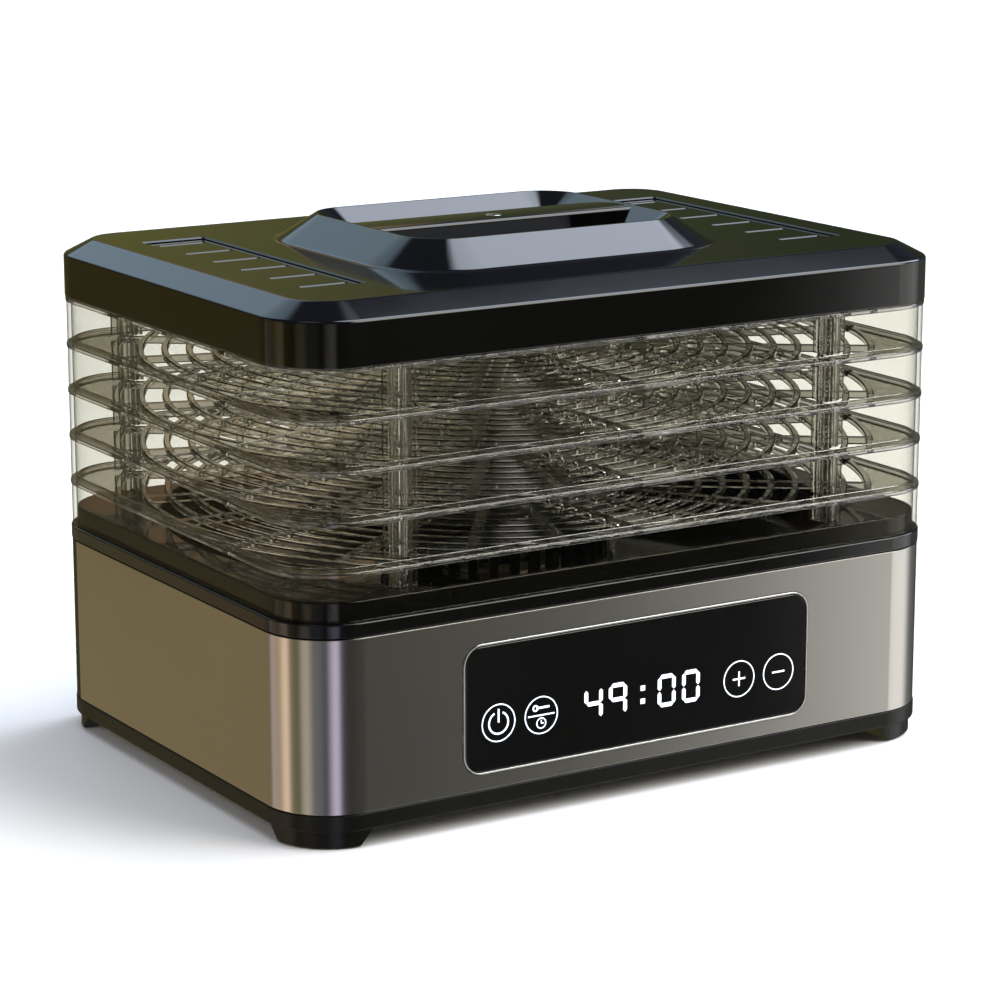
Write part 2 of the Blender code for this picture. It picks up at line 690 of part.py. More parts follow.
def lid_solid(name, inset, low, drop, finish):
    """The lid's outer form: a skirt with a wide sloping shoulder and a flat top."""
    bm = bmesh.new()
    edge = Z_LID_EDGE - drop
    size = (WIDTH - 2 * inset, DEPTH - 2 * inset, edge - low)
    block_mesh(bm, size, (0, 0, (edge + low) / 2), CORNER_RADIUS - inset)
    top = [f for f in bm.faces if f.normal.z > 0.9]
    bmesh.ops.inset_region(bm, faces=top, thickness=CHAMFER_RUN, depth=CHAMFER_RISE,
                           use_even_offset=True)
    return add_object(name, mesh_from(bm, name), finish, smooth=finish is not None)


def handle_ring(name, drop, base):
    """The raised ring round the grip, as a solid with sloping sides."""
    grow = SLOPE_RUN
    size = (CREST_LENGTH + 2 * grow, CREST_DEPTH + 2 * grow)
    obj = frustum(name, size, Z_LID_TOP, Z_CREST, CREST_RADIUS + grow, grow)
    obj.data.transform(Matrix.Translation((0, 0, -drop)))
    for vert in obj.data.vertices:
        if vert.co.z < Z_LID_TOP - drop + 0.0001:
            vert.co.z = base
    return obj


def upturned(name, size, low, high, radius, run):
    """A rounded block that widens by run from low to high."""
    obj = frustum(name, size, low, high, radius, run)
    obj.data.transform(Matrix.Translation((0, 0, low + high)) @ Matrix.Diagonal((1, 1, -1, 1)))
    obj.data.flip_normals()
    return obj


def finger_wells(name, wall):
    """Both finger wells: a sloping mouth over a steeper pit, split by the grip bar."""
    spread = wall / math.sin(math.atan2(CREST_RISE, SLOPE_RUN)) - CREST_LAND
    mouth_size = (CREST_LENGTH + 2 * spread, CREST_DEPTH + 2 * spread)
    mouth = upturned(name, mouth_size, Z_LID_TOP, Z_CREST, CREST_RADIUS, SLOPE_RUN)
    for vert in mouth.data.vertices:
        if vert.co.z > Z_CREST - CLEARANCE:
            vert.co.z = Z_CREST + 0.005
    floor = Z_CREST - WELL_DEPTH - wall
    drawn_in = 2 * SLOPE_RUN + 0.0010
    pit = upturned(name + "_pit", (mouth_size[0] - drawn_in, mouth_size[1] - drawn_in), floor,
                   Z_LID_TOP + 0.0010, CREST_RADIUS * 0.4, WELL_TAPER)
    join(mouth, pit)
    bar = block(name + "_bar", (CREST_LENGTH * 2, BAR_WIDTH - 2 * wall, 0.2), (0, 0, Z_LID_TOP), None)
    cut(mouth, bar)
    return mouth


def make_lid():
    low = Z_LID + CLEARANCE
    lid = lid_solid("lid_shell", 0.0, low, 0.0, gloss_black())
    join(lid, handle_ring("cut_ring_outer", 0.0, Z_LID_TOP - 2 * PAST))
    cavity = lid_solid("cut_lid_cavity", LID_WALL, low - 0.01, LID_WALL, None)
    slope_drop = LID_WALL * math.hypot(1, CREST_RISE / SLOPE_RUN)
    join(cavity, handle_ring("cut_ring_inner", slope_drop, Z_LID_TOP - LID_WALL - 2 * PAST))
    cut(cavity, finger_wells("cut_wells_wall", LID_WALL),
        disc("cut_grip_boss", GRIP_BOSS_RADIUS, Z_CREST - GRIP_BOSS_LENGTH, Z_CREST + 0.01, (0, 0),
             None, 12))
    cut(lid, cavity, finger_wells("cut_wells", 0.0))
    for side in (-1, 1):
        cut(lid, block(f"cut_pocket_{side}", (*POCKET_SIZE, 2 * POCKET_DEPTH),
                       (side * POCKET_X, 0, Z_LID_TOP), None))
        for i in range(VENT_COUNT):
            y = (i - (VENT_COUNT - 1) / 2) * VENT_PITCH
            cut(lid, block(f"cut_vent_{side}_{i}", (VENT_LENGTH, VENT_WIDTH, 0.02),
                           (side * VENT_X, y, Z_LID_TOP), None))
    seat = Z_CREST - GRIP_SCREW_HEAD
    cut(lid, disc("cut_grip_seat", GRIP_SCREW_RADIUS + CLEARANCE, seat - CLEARANCE, Z_CREST + 0.01,
                  (0, 0), None, 16),
        disc("cut_grip_bore", SCREW_RADIUS + CLEARANCE, seat - GRIP_SHANK - CLEARANCE, Z_CREST,
             (0, 0), None, 10))
    rim = GRIP_SCREW_RADIUS - GRIP_SCREW_EDGE
    profile = [(0.0, Z_CREST), (rim, Z_CREST), (GRIP_SCREW_RADIUS, Z_CREST - GRIP_SCREW_EDGE),
               (GRIP_SCREW_RADIUS, seat), (SCREW_RADIUS, seat), (SCREW_RADIUS, seat - GRIP_SHANK),
               (0.0, seat - GRIP_SHANK)]
    turned("grip_screw", profile, (0, 0, 0), bright_steel(), 16)


# ---- control panel ---------------------------------------------------------------------------
def make_panel():
    back = FRONT + GLASS_THICKNESS
    centre = (0, (FRONT + back) / 2, PANEL_LIFT)
    bezel = block("panel_bezel", (PANEL_WIDTH, GLASS_THICKNESS, PANEL_HEIGHT), centre,
                  bright_steel(), PANEL_RADIUS, "Y", 5)
    inner = BEZEL_WIDTH * 2
    hole = (PANEL_WIDTH - inner, GLASS_THICKNESS * 3, PANEL_HEIGHT - inner)
    cut(bezel, block("cut_bezel", hole, centre, None, PANEL_RADIUS - BEZEL_WIDTH, "Y", 5))
    glass_inset = 2 * (BEZEL_WIDTH + CLEARANCE)
    block("control_glass", (PANEL_WIDTH - glass_inset, GLASS_THICKNESS, PANEL_HEIGHT - glass_inset),
          centre, material("panel_glass", (0.004, 0.004, 0.004), 0.04),
          PANEL_RADIUS - glass_inset / 2, "Y", 5)
    front = back + CLEARANCE
    block("display_module", DISPLAY_SIZE, (0, front + DISPLAY_SIZE[1] / 2, KEY_LIFT),
          material("display_module", (0.03, 0.03, 0.035), 0.4))
    for i, x in enumerate(KEY_PLACES):
        lying_disc(f"touch_spring_{i + 1}", SPRING_RADIUS, CLEARANCE,
                   board_front() - back - CLEARANCE, (x, back, KEY_LIFT), bright_steel(), 12)
    rear = board_front() + BOARD_THICKNESS
    board = block("control_board", (CONTROL_BOARD_SIZE[0], BOARD_THICKNESS, CONTROL_BOARD_SIZE[1]),
                  (0, rear - BOARD_THICKNESS / 2, PANEL_LIFT), board_green())
    for side, word in SIDES:
        x = side * PANEL_SCREW_X
        cut(board, lying_disc("cut_board_hole_" + word, SCREW_RADIUS + CLEARANCE, -0.01, 0.01,
                              (x, rear, PANEL_LIFT), None, 10))
        screw("panel_screw_" + word, (x, rear + CLEARANCE, PANEL_LIFT), SHORT_SCREW_LENGTH, 90)


# ---- fan, heater and electrics ---------------------------------------------------------------
def make_fan_shroud():
    top = Z_DECK_UNDER - CLEARANCE
    outer = SHROUD_RADIUS + SHROUD_WALL
    profile = [(outer + SHROUD_FLANGE, top), (outer + SHROUD_FLANGE, top - SHROUD_WALL),
               (outer, top - SHROUD_WALL), (outer, SHROUD_BOTTOM), (SHROUD_RADIUS, SHROUD_BOTTOM),
               (SHROUD_RADIUS, top)]
    turned("fan_shroud", profile, (0, 0, 0), satin_black(), 32, closed_profile=True)


def make_motor_bracket():
    flange = BRACKET_FLANGE
    foot = SHROUD_RADIUS + SHROUD_WALL + flange
    low = Z_FLOOR + CLEARANCE
    height = BRACKET_LIFT + BRACKET_PLATE - low
    middle = low + height / 2
    bracket = block("motor_bracket", (2 * foot, BRACKET_WIDTH, height), (0, 0, middle),
                    bright_steel())
    inside = 2 * (foot - flange)
    cut(bracket, block("cut_bracket_under", (inside, BRACKET_WIDTH * 2, height),
                       (0, 0, middle - BRACKET_PLATE), None))
    step = flange - BRACKET_PLATE
    for side, word in SIDES:
        cut(bracket, block("cut_bracket_leg_" + word, (step * 2, BRACKET_WIDTH * 2, height),
                           (side * foot, 0, middle + BRACKET_PLATE), None),
            disc("cut_bracket_hole_" + word, SCREW_RADIUS + CLEARANCE, 0, middle,
                 (side * (foot - step / 2), 0), None, 10))
        screw("bracket_screw_" + word, (side * (foot - step / 2), 0, low + BRACKET_PLATE + CLEARANCE),
              BRACKET_PLATE, 180)
    cut(bracket, disc("cut_bracket_bore", MOTOR_RADIUS * 0.4, 0, 0.1, (0, 0), None, 16))


def make_motor():
    low = BRACKET_LIFT + BRACKET_PLATE + CLEARANCE
    high = low + MOTOR_HEIGHT
    collar = MOTOR_COLLAR_RADIUS
    step = MOTOR_COLLAR_HEIGHT
    bore = SHAFT_RADIUS + CLEARANCE
    shaft_low = low + step
    profile = [(0.0, shaft_low - CLEARANCE), (bore, shaft_low - CLEARANCE), (bore, high),
               (collar, high), (collar, high - step), (MOTOR_RADIUS, high - step),
               (MOTOR_RADIUS, low), (0.0, low)]
    turned("fan_motor", profile, (0, 0, 0), bright_steel(), 24)
    disc("motor_shaft", SHAFT_RADIUS, shaft_low, FAN_LIFT + FAN_HEIGHT, (0, 0), bright_steel(), 12)


def make_impeller():
    high = FAN_LIFT + FAN_HEIGHT
    fan = disc("fan_impeller", FAN_HUB_RADIUS, FAN_LIFT, high, (0, 0),
               material("fan_plastic", (0.05, 0.05, 0.055), 0.45), 24)
    bm = bmesh.new()
    span = FAN_RADIUS + BLADE_OVERLAP - FAN_HUB_RADIUS
    for i in range(FAN_BLADES):
        made = bmesh.ops.create_cube(bm, size=1.0)
        verts = made["verts"]
        bmesh.ops.scale(bm, vec=(span, BLADE_CHORD, BLADE_THICKNESS), verts=verts)
        pitch = Matrix.Rotation(math.radians(BLADE_PITCH), 3, "X")
        bmesh.ops.rotate(bm, cent=(0, 0, 0), matrix=pitch, verts=verts)
        middle = (FAN_HUB_RADIUS - BLADE_OVERLAP + span / 2, 0, FAN_LIFT + FAN_HEIGHT / 2)
        bmesh.ops.translate(bm, vec=middle, verts=verts)
        turn = Matrix.Rotation(2 * math.pi * i / FAN_BLADES, 3, "Z")
        bmesh.ops.rotate(bm, cent=(0, 0, 0), matrix=turn, verts=verts)
    join(fan, add_object("cut_fan_blades", mesh_from(bm, "cut_fan_blades"), None))
    cut(fan, disc("cut_fan_bore", SHAFT_RADIUS + CLEARANCE, 0, high * 2, (0, 0), None, 12))


def heater_arms(name, length, low, high, finish):
    middle = (0, 0, (low + high) / 2)
    arms = block(name, (length, HEATER_ARM_WIDTH, high - low), middle, finish)
    join(arms, block("cut_cross_" + name, (HEATER_ARM_WIDTH, length, high - low), middle, None))
    return arms


def make_heater():
    shield_inner = SHROUD_RADIUS - CLEARANCE - SHIELD_WALL
    low, high = HEATER_LIFT, HEATER_LIFT + HEATER_FRAME_HEIGHT
    ring("heat_shield", shield_inner, SHROUD_RADIUS - CLEARANCE, low, Z_DECK_UNDER - 2 * CLEARANCE,
         (0, 0), bright_steel(), 32)
    heater_arms("heater_frame", 2 * (shield_inner - CLEARANCE), low, high,
                material("mica_board", (0.62, 0.55, 0.42), 0.6))
    centre = high + CLEARANCE + COIL_WIRE
    data = bpy.data.curves.new("heater_coil", "CURVE")
    data.dimensions = "3D"
    data.bevel_depth = COIL_WIRE
    data.bevel_resolution = 1
    data.use_fill_caps = True
    per_turn = 15
    count = int(COIL_TURNS * per_turn) + 1
    coil_end = shield_inner - COIL_MARGIN
    spline = data.splines.new("POLY")
    spline.points.add(count - 1)
    for i, point in enumerate(spline.points):
        share = i / (count - 1)
        radius = COIL_START + (coil_end - COIL_START) * share
        angle = 2 * math.pi * COIL_TURNS * share
        point.co = (radius * math.cos(angle), radius * math.sin(angle), centre, 1.0)
    data.materials.append(material("heater_wire", (0.45, 0.38, 0.32), 0.4, 1.0))
    parts.objects.link(bpy.data.objects.new("heater_coil", data))
    fuse = disc("thermal_fuse", FUSE_RADIUS, -FUSE_LENGTH / 2, FUSE_LENGTH / 2, (0, 0),
                bright_steel(), 10)
    fuse.rotation_euler = (0, math.radians(90), 0)
    fuse.location = (FUSE_X, 0, high + CLEARANCE + FUSE_RADIUS)
    disc("temperature_sensor", SENSOR_RADIUS, high + CLEARANCE, high + CLEARANCE + SENSOR_HEIGHT,
         (SENSOR_X, 0), material("sensor_bead", (0.02, 0.02, 0.02), 0.5), 10)


def make_electrics():
    x, y = POWER_BOARD_PLACE
    low = Z_FLOOR + STANDOFF_HEIGHT + CLEARANCE
    block("power_board", (*POWER_BOARD_SIZE, BOARD_THICKNESS), (x, y, low + BOARD_THICKNESS / 2),
          board_green())
    top = low + BOARD_THICKNESS + CLEARANCE
    pieces = (
        ("mains_capacitor", (0.0260, 0.0100, 0.0190), (0.006, -0.030), (0.55, 0.10, 0.06)),
        ("heater_relay", (0.0190, 0.0150, 0.0155), (-0.012, -0.008), (0.03, 0.05, 0.16)),
        ("power_transformer", (0.0240, 0.0260, 0.0220), (0.010, 0.014), (0.55, 0.48, 0.12)),
        ("mains_terminal", (0.0300, 0.0110, 0.0120), (0.0, 0.036), (0.10, 0.30, 0.14)),
    )
    for name, size, (dx, dy), colour in pieces:
        block(name, size, (x + dx, y + dy, top + size[2] / 2), material(name, colour, 0.45),
              COMPONENT_RADIUS, "Z", 2)


def main():
    global parts, cutters
    clear_scene()
    parts = new_collection("food_dehydrator")
    cutters = new_collection("cutters")
    make_base_tub()
    make_metal_band()
    make_rear_cover()
    make_cord_grommet()
    make_feet_and_screws()
    make_intake_grille()
    make_top_deck()
    make_outlet_grille()
    make_trays()
    make_lid()
    make_panel()
    make_fan_shroud()
    make_motor_bracket()
    make_motor()
    make_impeller()
    make_heater()
    make_electrics()


main()
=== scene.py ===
"""The finished look of a food dehydrator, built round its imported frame."""

import json
import math

import bmesh
import bpy
from bpy.props import FloatProperty, FloatVectorProperty, IntProperty, PointerProperty
from mathutils import Matrix, Vector


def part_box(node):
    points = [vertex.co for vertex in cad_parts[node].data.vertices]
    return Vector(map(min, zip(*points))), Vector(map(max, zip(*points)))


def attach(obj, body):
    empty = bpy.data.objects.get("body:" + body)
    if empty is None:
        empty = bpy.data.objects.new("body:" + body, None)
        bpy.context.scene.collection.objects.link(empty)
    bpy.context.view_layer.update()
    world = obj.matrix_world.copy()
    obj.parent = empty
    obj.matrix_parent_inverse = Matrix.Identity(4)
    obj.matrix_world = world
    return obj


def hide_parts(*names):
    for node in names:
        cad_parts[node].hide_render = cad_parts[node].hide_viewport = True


bl_info = {
    "name": "Food Dehydrator",
    "version": (1, 0, 0),
    "blender": (4, 5, 0),
    "location": "View3D > Sidebar > Dehydrator",
    "description": "Builds the finished look of a stacking food dehydrator round its packed frame",
    "category": "Object",
}

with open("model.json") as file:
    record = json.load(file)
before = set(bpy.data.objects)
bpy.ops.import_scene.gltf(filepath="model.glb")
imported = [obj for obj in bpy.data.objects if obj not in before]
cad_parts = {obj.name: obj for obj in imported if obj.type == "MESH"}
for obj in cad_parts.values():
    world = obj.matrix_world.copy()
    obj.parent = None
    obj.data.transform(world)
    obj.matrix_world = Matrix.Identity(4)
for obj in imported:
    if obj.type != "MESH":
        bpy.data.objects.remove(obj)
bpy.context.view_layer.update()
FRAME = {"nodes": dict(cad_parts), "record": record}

MM = 0.001
TRAY_COUNT = 5
MERGE = 0.00001  # vertices nearer to each other than this become one
GAP = 0.3 * MM  # room between neighbouring pieces
HOLD = 0.12 * MM  # how far past a rounding a point pins the flat next to it
SUNK = 0.1 * MM  # how far the glass and its prints lie behind the bezel's face
PRINT_DEPTH = 0.08 * MM
PANEL_CORNER = 9 * MM
METAL_EASE = 0.22 * MM  # rounding of the edges of sheet metal
SHARP = 32.0  # degrees between two faces at which their edge stays sharp
MIDDLE = (0.3, 0.7)  # the part of a noise's range that most of its values lie in
FULL_TURN = 2 * math.pi
SATIN_BASE = ("satin_black", "base", "satin_black_plastic")
GLOSS_LID = ("gloss_black", "lid", "gloss_black_plastic")


def corners_of(node):
    low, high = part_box(node)
    return Vector(low), Vector(high)


LID_LOW, LID_HIGH = corners_of("lid_shell")
DECK_LOW, DECK_HIGH = corners_of("top_deck")
BAND_LOW, BAND_HIGH = corners_of("metal_band")
COVER_LOW, COVER_HIGH = corners_of("rear_cover")
TUB_LOW, TUB_HIGH = corners_of("base_tub")
GLASS_LOW, GLASS_HIGH = corners_of("control_glass")
BEZEL_LOW, BEZEL_HIGH = corners_of("panel_bezel")
DRUM_LOW, DRUM_HIGH = corners_of("outlet_grille")
GRILLE_LOW, GRILLE_HIGH = corners_of("intake_grille")
HALF_X = LID_HIGH.x
HALF_Y = LID_HIGH.y


# ---- sizes and colours that a user may change ------------------------------------------------
def length(name, description, default):
    return FloatProperty(name=name, description=description, default=default, unit="LENGTH",
                         precision=4)


def colour(name, description, default):
    return FloatVectorProperty(name=name, description=description, default=default,
                               subtype="COLOR", size=3, min=0.0, max=1.0)


class DehydratorSizes(bpy.types.PropertyGroup):
    """Sizes of the visible pieces."""

    corner_radius: length("Corner radius", "Radius of the plan outline's corners", 30 * MM)
    corner_steps: IntProperty(name="Corner steps", description="Faces round each plan corner",
                              default=16, min=4, max=48)
    edge_radius: length("Edge radius", "Rounding of the moulded edges", 0.7 * MM)
    skirt_height: length("Skirt height", "Height of the black skirt under the band", 7.1 * MM)
    rim_height: length("Rim height", "Height of the black rim over the band", 5.9 * MM)
    plateau_inset: length("Plateau inset", "From the outline to the wall that centres a tray",
                          3.1 * MM)
    dish_radius: length("Dish radius", "Radius of the round drip dish", 150 * MM)
    lip_width: length("Lip width", "Width of the lip in front of and behind the dish", 2.6 * MM)
    tray_wall: length("Tray wall", "Thickness of a tray's clear wall", 2.0 * MM)
    flange_height: length("Flange height", "Height of the thick edge round a tray", 1.9 * MM)
    slat_pitch: length("Slat pitch", "Distance between the ring slats", 10.8 * MM)
    slat_width: length("Slat width", "Width of a ring slat", 3.0 * MM)
    slat_height: length("Slat height", "Height of a ring slat", 2.4 * MM)
    grid_radius: length("Grid radius", "Radius of the outermost ring", 168.1 * MM)
    spoke_count: IntProperty(name="Spokes", description="Spokes of a tray's grid", default=20,
                             min=4, max=60)
    spoke_width: length("Spoke width", "Width of a spoke", 4.6 * MM)
    front_post_x: length("Front post place", "From the centre to a front post, along X", 110 * MM)
    rear_post_x: length("Rear post place", "From the centre to a rear post, along X", 132 * MM)
    post_y: length("Post place along", "From the centre to a post, along Y", 103 * MM)
    crest_length: length("Grip crest length", "Length of the grip ring's crest", 136 * MM)
    crest_depth: length("Grip crest depth", "Depth of the grip ring's crest", 109 * MM)
    bar_width: length("Grip bar width", "Width of the bar that the fingers hold", 24 * MM)
    lid_skirt: length("Lid skirt", "Height of the lid's upright side", 18.7 * MM)
    shoulder_run: length("Shoulder run", "How far the lid's shoulder slopes in", 12.65 * MM)
    shoulder_rise: length("Shoulder rise", "How far the lid's shoulder slopes up", 6.5 * MM)
    vent_count: IntProperty(name="Vents", description="Slots in each of the lid's pockets",
                            default=6, min=1, max=12)
    key_radius: length("Key radius", "Radius of a touch key's ring", 8 * MM)
    digit_height: length("Digit height", "Height of the clock's digits", 14.5 * MM)
    digit_width: length("Digit width", "Width of the clock's digits", 9.3 * MM)
    louvre_count: IntProperty(name="Louvres", description="Slots in the rear cover", default=6,
                              min=1, max=12)


class DehydratorColours(bpy.types.PropertyGroup):
    """Colours of the finishes."""

    gloss_black: colour("Gloss black", "Lid and deck", (0.0012, 0.0012, 0.001))
    satin_black: colour("Satin black", "Skirt, feet and rear cover", (0.005, 0.0047, 0.004))
    graphite: colour("Graphite", "Metal band", (0.41, 0.395, 0.37))
    steel: colour("Bright steel", "Bezel, screws and brackets", (0.62, 0.61, 0.58))
    tray_tint: colour("Tray tint", "Clear tray plastic", (0.92, 0.91, 0.86))
    slat_tint: colour("Slat tint", "Clear plastic of the grids", (0.985, 0.985, 0.972))
    print_white: colour("Display white", "Lit digits and key rings", (0.82, 0.88, 1.0))
    floor: colour("Floor", "The ground under the appliance", (0.93, 0.93, 0.93))


def sizes():
    return bpy.context.scene.dehydrator_sizes


def colours():
    return bpy.context.scene.dehydrator_colours


# ---- finishes --------------------------------------------------------------------------------
def finish(name, base, roughness, metallic=0.0):
    """A new material with its Principled shader, and its tree to add to."""
    made = bpy.data.materials.new(name)
    made.use_nodes = True
    shader = made.node_tree.nodes["Principled BSDF"]
    shader.inputs["Base Color"].default_value = (*base, 1.0)
    shader.inputs["Roughness"].default_value = roughness
    shader.inputs["Metallic"].default_value = metallic
    made.diffuse_color = (*base, 1.0)
    return made, shader, made.node_tree


def add_node(tree, kind, inputs, **settings):
    """A new shader node. Each input, by name or number, is linked to a socket or set to a value."""
    node = tree.nodes.new("ShaderNode" + kind)
    for name, value in settings.items():
        setattr(node, name, value)
    for key, value in inputs.items():
        if isinstance(value, bpy.types.NodeSocket):
            tree.links.new(value, node.inputs[key])
        else:
            node.inputs[key].default_value = value
    return node


def placed_noise(tree, scale, stretch=(1.0, 1.0, 1.0), detail=3.0):
    """Noise on the piece's own coordinates, in metres, stretched along its axes."""
    where = add_node(tree, "TexCoord", {})
    mapping = add_node(tree, "Mapping", {"Vector": where.outputs["Object"], "Scale": stretch})
    noise = add_node(tree, "TexNoise", {"Vector": mapping.outputs["Vector"], "Scale": scale,
                                        "Detail": detail})
    return noise.outputs["Fac"]


def blended(tree, source, first, second):
    """A colour between first and second, by the source's middle range."""
    ramp = add_node(tree, "ValToRGB", {"Fac": source})
    for element, place, tone in zip(ramp.color_ramp.elements, MIDDLE, (first, second)):
        element.position = place
        element.color = (*tone, 1.0)
    return ramp.outputs["Color"]


def vary_colour(tree, shader, source, first, second):
    tree.links.new(blended(tree, source, first, second), shader.inputs["Base Color"])


def vary_roughness(tree, shader, source, low, high):
    """Roughness from low to high, by the source's middle range."""
    ranged = add_node(tree, "MapRange", {"Value": source, "From Min": MIDDLE[0],
                                         "From Max": MIDDLE[1], "To Min": low, "To Max": high})
    tree.links.new(ranged.outputs["Result"], shader.inputs["Roughness"])


def roughened(tree, shader, source, strength, distance):
    bump = add_node(tree, "Bump", {"Height": source, "Strength": strength, "Distance": distance})
    tree.links.new(bump.outputs["Normal"], shader.inputs["Normal"])


def scaled(base, factor):
    return tuple(min(1.0, value * factor) for value in base)


def gloss_black_finish():
    """Piano-black moulding: a faint haze of handling and a very shallow moulded waviness."""
    base = colours().gloss_black
    made, shader, tree = finish("gloss_black_moulding", base, 0.06)
    shader.inputs["IOR"].default_value = 1.47
    haze = placed_noise(tree, 14.0)
    vary_roughness(tree, shader, haze, 0.045, 0.085)
    vary_colour(tree, shader, haze, base, scaled(base, 1.5))
    roughened(tree, shader, placed_noise(tree, 60.0, detail=1.0), 0.02, 0.4 * MM)
    return made


def satin_black_finish():
    """Fine spark-eroded black moulding."""
    base = colours().satin_black
    made, shader, tree = finish("satin_black_moulding", base, 0.28)
    shader.inputs["Specular IOR Level"].default_value = 0.2
    grain = placed_noise(tree, 1500.0)
    vary_roughness(tree, shader, placed_noise(tree, 25.0), 0.22, 0.32)
    vary_colour(tree, shader, grain, scaled(base, 0.8), scaled(base, 1.3))
    roughened(tree, shader, grain, 0.12, 0.05 * MM)
    return made


def graphite_finish():
    """Satin sheet metal, blasted before it was coated."""
    base = colours().graphite
    made, shader, tree = finish("graphite_sheet", base, 0.18, 1.0)
    grain = placed_noise(tree, 1800.0)
    vary_colour(tree, shader, placed_noise(tree, 9.0), scaled(base, 0.97), scaled(base, 1.03))
    vary_roughness(tree, shader, grain, 0.165, 0.205)
    roughened(tree, shader, grain, 0.03, 0.02 * MM)
    return made


def steel_finish(name="bright_steel", base=None, roughness=0.22):
    """Turned or drawn metal: its marks stretch along the piece's height."""
    base = base or tuple(colours().steel)
    made, shader, tree = finish(name, base, roughness, 1.0)
    turned_marks = placed_noise(tree, 700.0, (1.0, 1.0, 0.1))
    vary_roughness(tree, shader, turned_marks, roughness * 0.8, roughness * 1.4)
    vary_colour(tree, shader, placed_noise(tree, 120.0), scaled(base, 0.92), scaled(base, 1.05))
    return made


def moulded_finish(name, base, roughness=0.45):
    """Plain moulded plastic, rubber or board, with a fine grain and slight mottling."""
    made, shader, tree = finish(name, base, roughness)
    grain = placed_noise(tree, 900.0)
    vary_colour(tree, shader, placed_noise(tree, 160.0), scaled(base, 0.85), scaled(base, 1.15))
    vary_roughness(tree, shader, grain, roughness * 0.85, min(1.0, roughness * 1.15))
    roughened(tree, shader, grain, 0.15, 0.05 * MM)
    return made


def panel_glass_finish():
    """Near-black glass with a faint haze of handling."""
    made, shader, tree = finish("smoked_panel_glass", (0.003, 0.003, 0.003), 0.04)
    vary_roughness(tree, shader, placed_noise(tree, 30.0), 0.03, 0.06)
    vary_colour(tree, shader, placed_noise(tree, 8.0), (0.002, 0.002, 0.002),
                (0.004, 0.004, 0.004))
    return made


def lit_print_finish():
    """The lit white of the digits and key rings, a little uneven as from small lamps."""
    base = colours().print_white
    made, shader, tree = finish("lit_print", base, 0.5)
    uneven = blended(tree, placed_noise(tree, 90.0), scaled(base, 0.90), base)
    tree.links.new(uneven, shader.inputs["Emission Color"])
    shader.inputs["Emission Strength"].default_value = 1.15
    return made


def clear_wall_finish():
    """Thin clear plastic: see-through, but yellower and under more gloss at a slant."""
    tint = colours().tray_tint
    made, shader, tree = finish("clear_tray_wall", (0.02, 0.02, 0.018), 0.03)
    shader.inputs["IOR"].default_value = 1.5
    facing = add_node(tree, "LayerWeight", {"Blend": 0.5})
    steep = add_node(tree, "Math", {0: facing.outputs["Facing"], 1: 4.0}, operation="POWER")
    skin = add_node(tree, "Math", {0: steep.outputs["Value"], 1: 0.8, 2: 0.035},
                    operation="MULTIPLY_ADD")
    seen = blended(tree, steep.outputs["Value"], tint, (0.62, 0.57, 0.44))
    through = add_node(tree, "BsdfTransparent", {"Color": seen})
    roughened(tree, shader, placed_noise(tree, 45.0, detail=1.0), 0.03, 0.5 * MM)
    mix = add_node(tree, "MixShader", {"Fac": skin.outputs["Value"], 1: through.outputs["BSDF"],
                                       2: shader.outputs["BSDF"]})
    tree.links.new(mix.outputs["Shader"], tree.nodes["Material Output"].inputs["Surface"])
    return made


def clear_slat_finish():
    """Thick clear plastic that bends light, for slats, posts and thick edges."""
    tint = colours().slat_tint
    made, shader, tree = finish("clear_tray_slats", tint, 0.02)
    shader.inputs["Transmission Weight"].default_value = 1.0
    shader.inputs["IOR"].default_value = 1.49
    vary_colour(tree, shader, placed_noise(tree, 40.0), tint, scaled(tint, 1.05))
    roughened(tree, shader, placed_noise(tree, 350.0, detail=1.0), 0.03, 0.1 * MM)
    return made


FINISHES = {}


def finish_of(key):
    """Each finish is made once and shared."""
    makers = {
        "gloss_black": gloss_black_finish,
        "satin_black": satin_black_finish,
        "graphite": graphite_finish,
        "steel": steel_finish,
        "glass": panel_glass_finish,
        "print": lit_print_finish,
        "wall": clear_wall_finish,
        "slats": clear_slat_finish,
    }
    if key not in FINISHES:
        FINISHES[key] = makers[key]()
    return FINISHES[key]


# ---- modelling helpers -----------------------------------------------------------------------
def plain_mesh(bm, name):
    mesh = bpy.data.meshes.new(name)
    bm.to_mesh(mesh)
    bm.free()
    return mesh


def closed_mesh(bm, name):
    """A mesh with its doubles merged and its faces pointing outwards."""
    bmesh.ops.remove_doubles(bm, verts=bm.verts, dist=MERGE)
    bmesh.ops.recalc_face_normals(bm, faces=bm.faces)
    return plain_mesh(bm, name)


def add_piece(bm, name, finish_key, body, slot, replaced=()):
    """Turns a bmesh into a finished piece that rides on a body."""
    return add_mesh(closed_mesh(bm, name), name, finish_key, body, replaced, SHARP)


def add_mesh(mesh, name, finish_key, body, replaced, sharp):
    """Shades a mesh, flat on faces of over four corners, and puts it on a body."""
    mesh.materials.clear()
    mesh.materials.append(finish_of(finish_key))
    mesh.shade_smooth()
    mesh.set_sharp_from_angle(angle=math.radians(sharp))
    for polygon in mesh.polygons:
        polygon.use_smooth = polygon.loop_total <= 4
    piece = bpy.data.objects.new(name, mesh)
    bpy.context.scene.collection.objects.link(piece)
    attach(piece, body)
    if replaced:
        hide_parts(*replaced)
    return piece


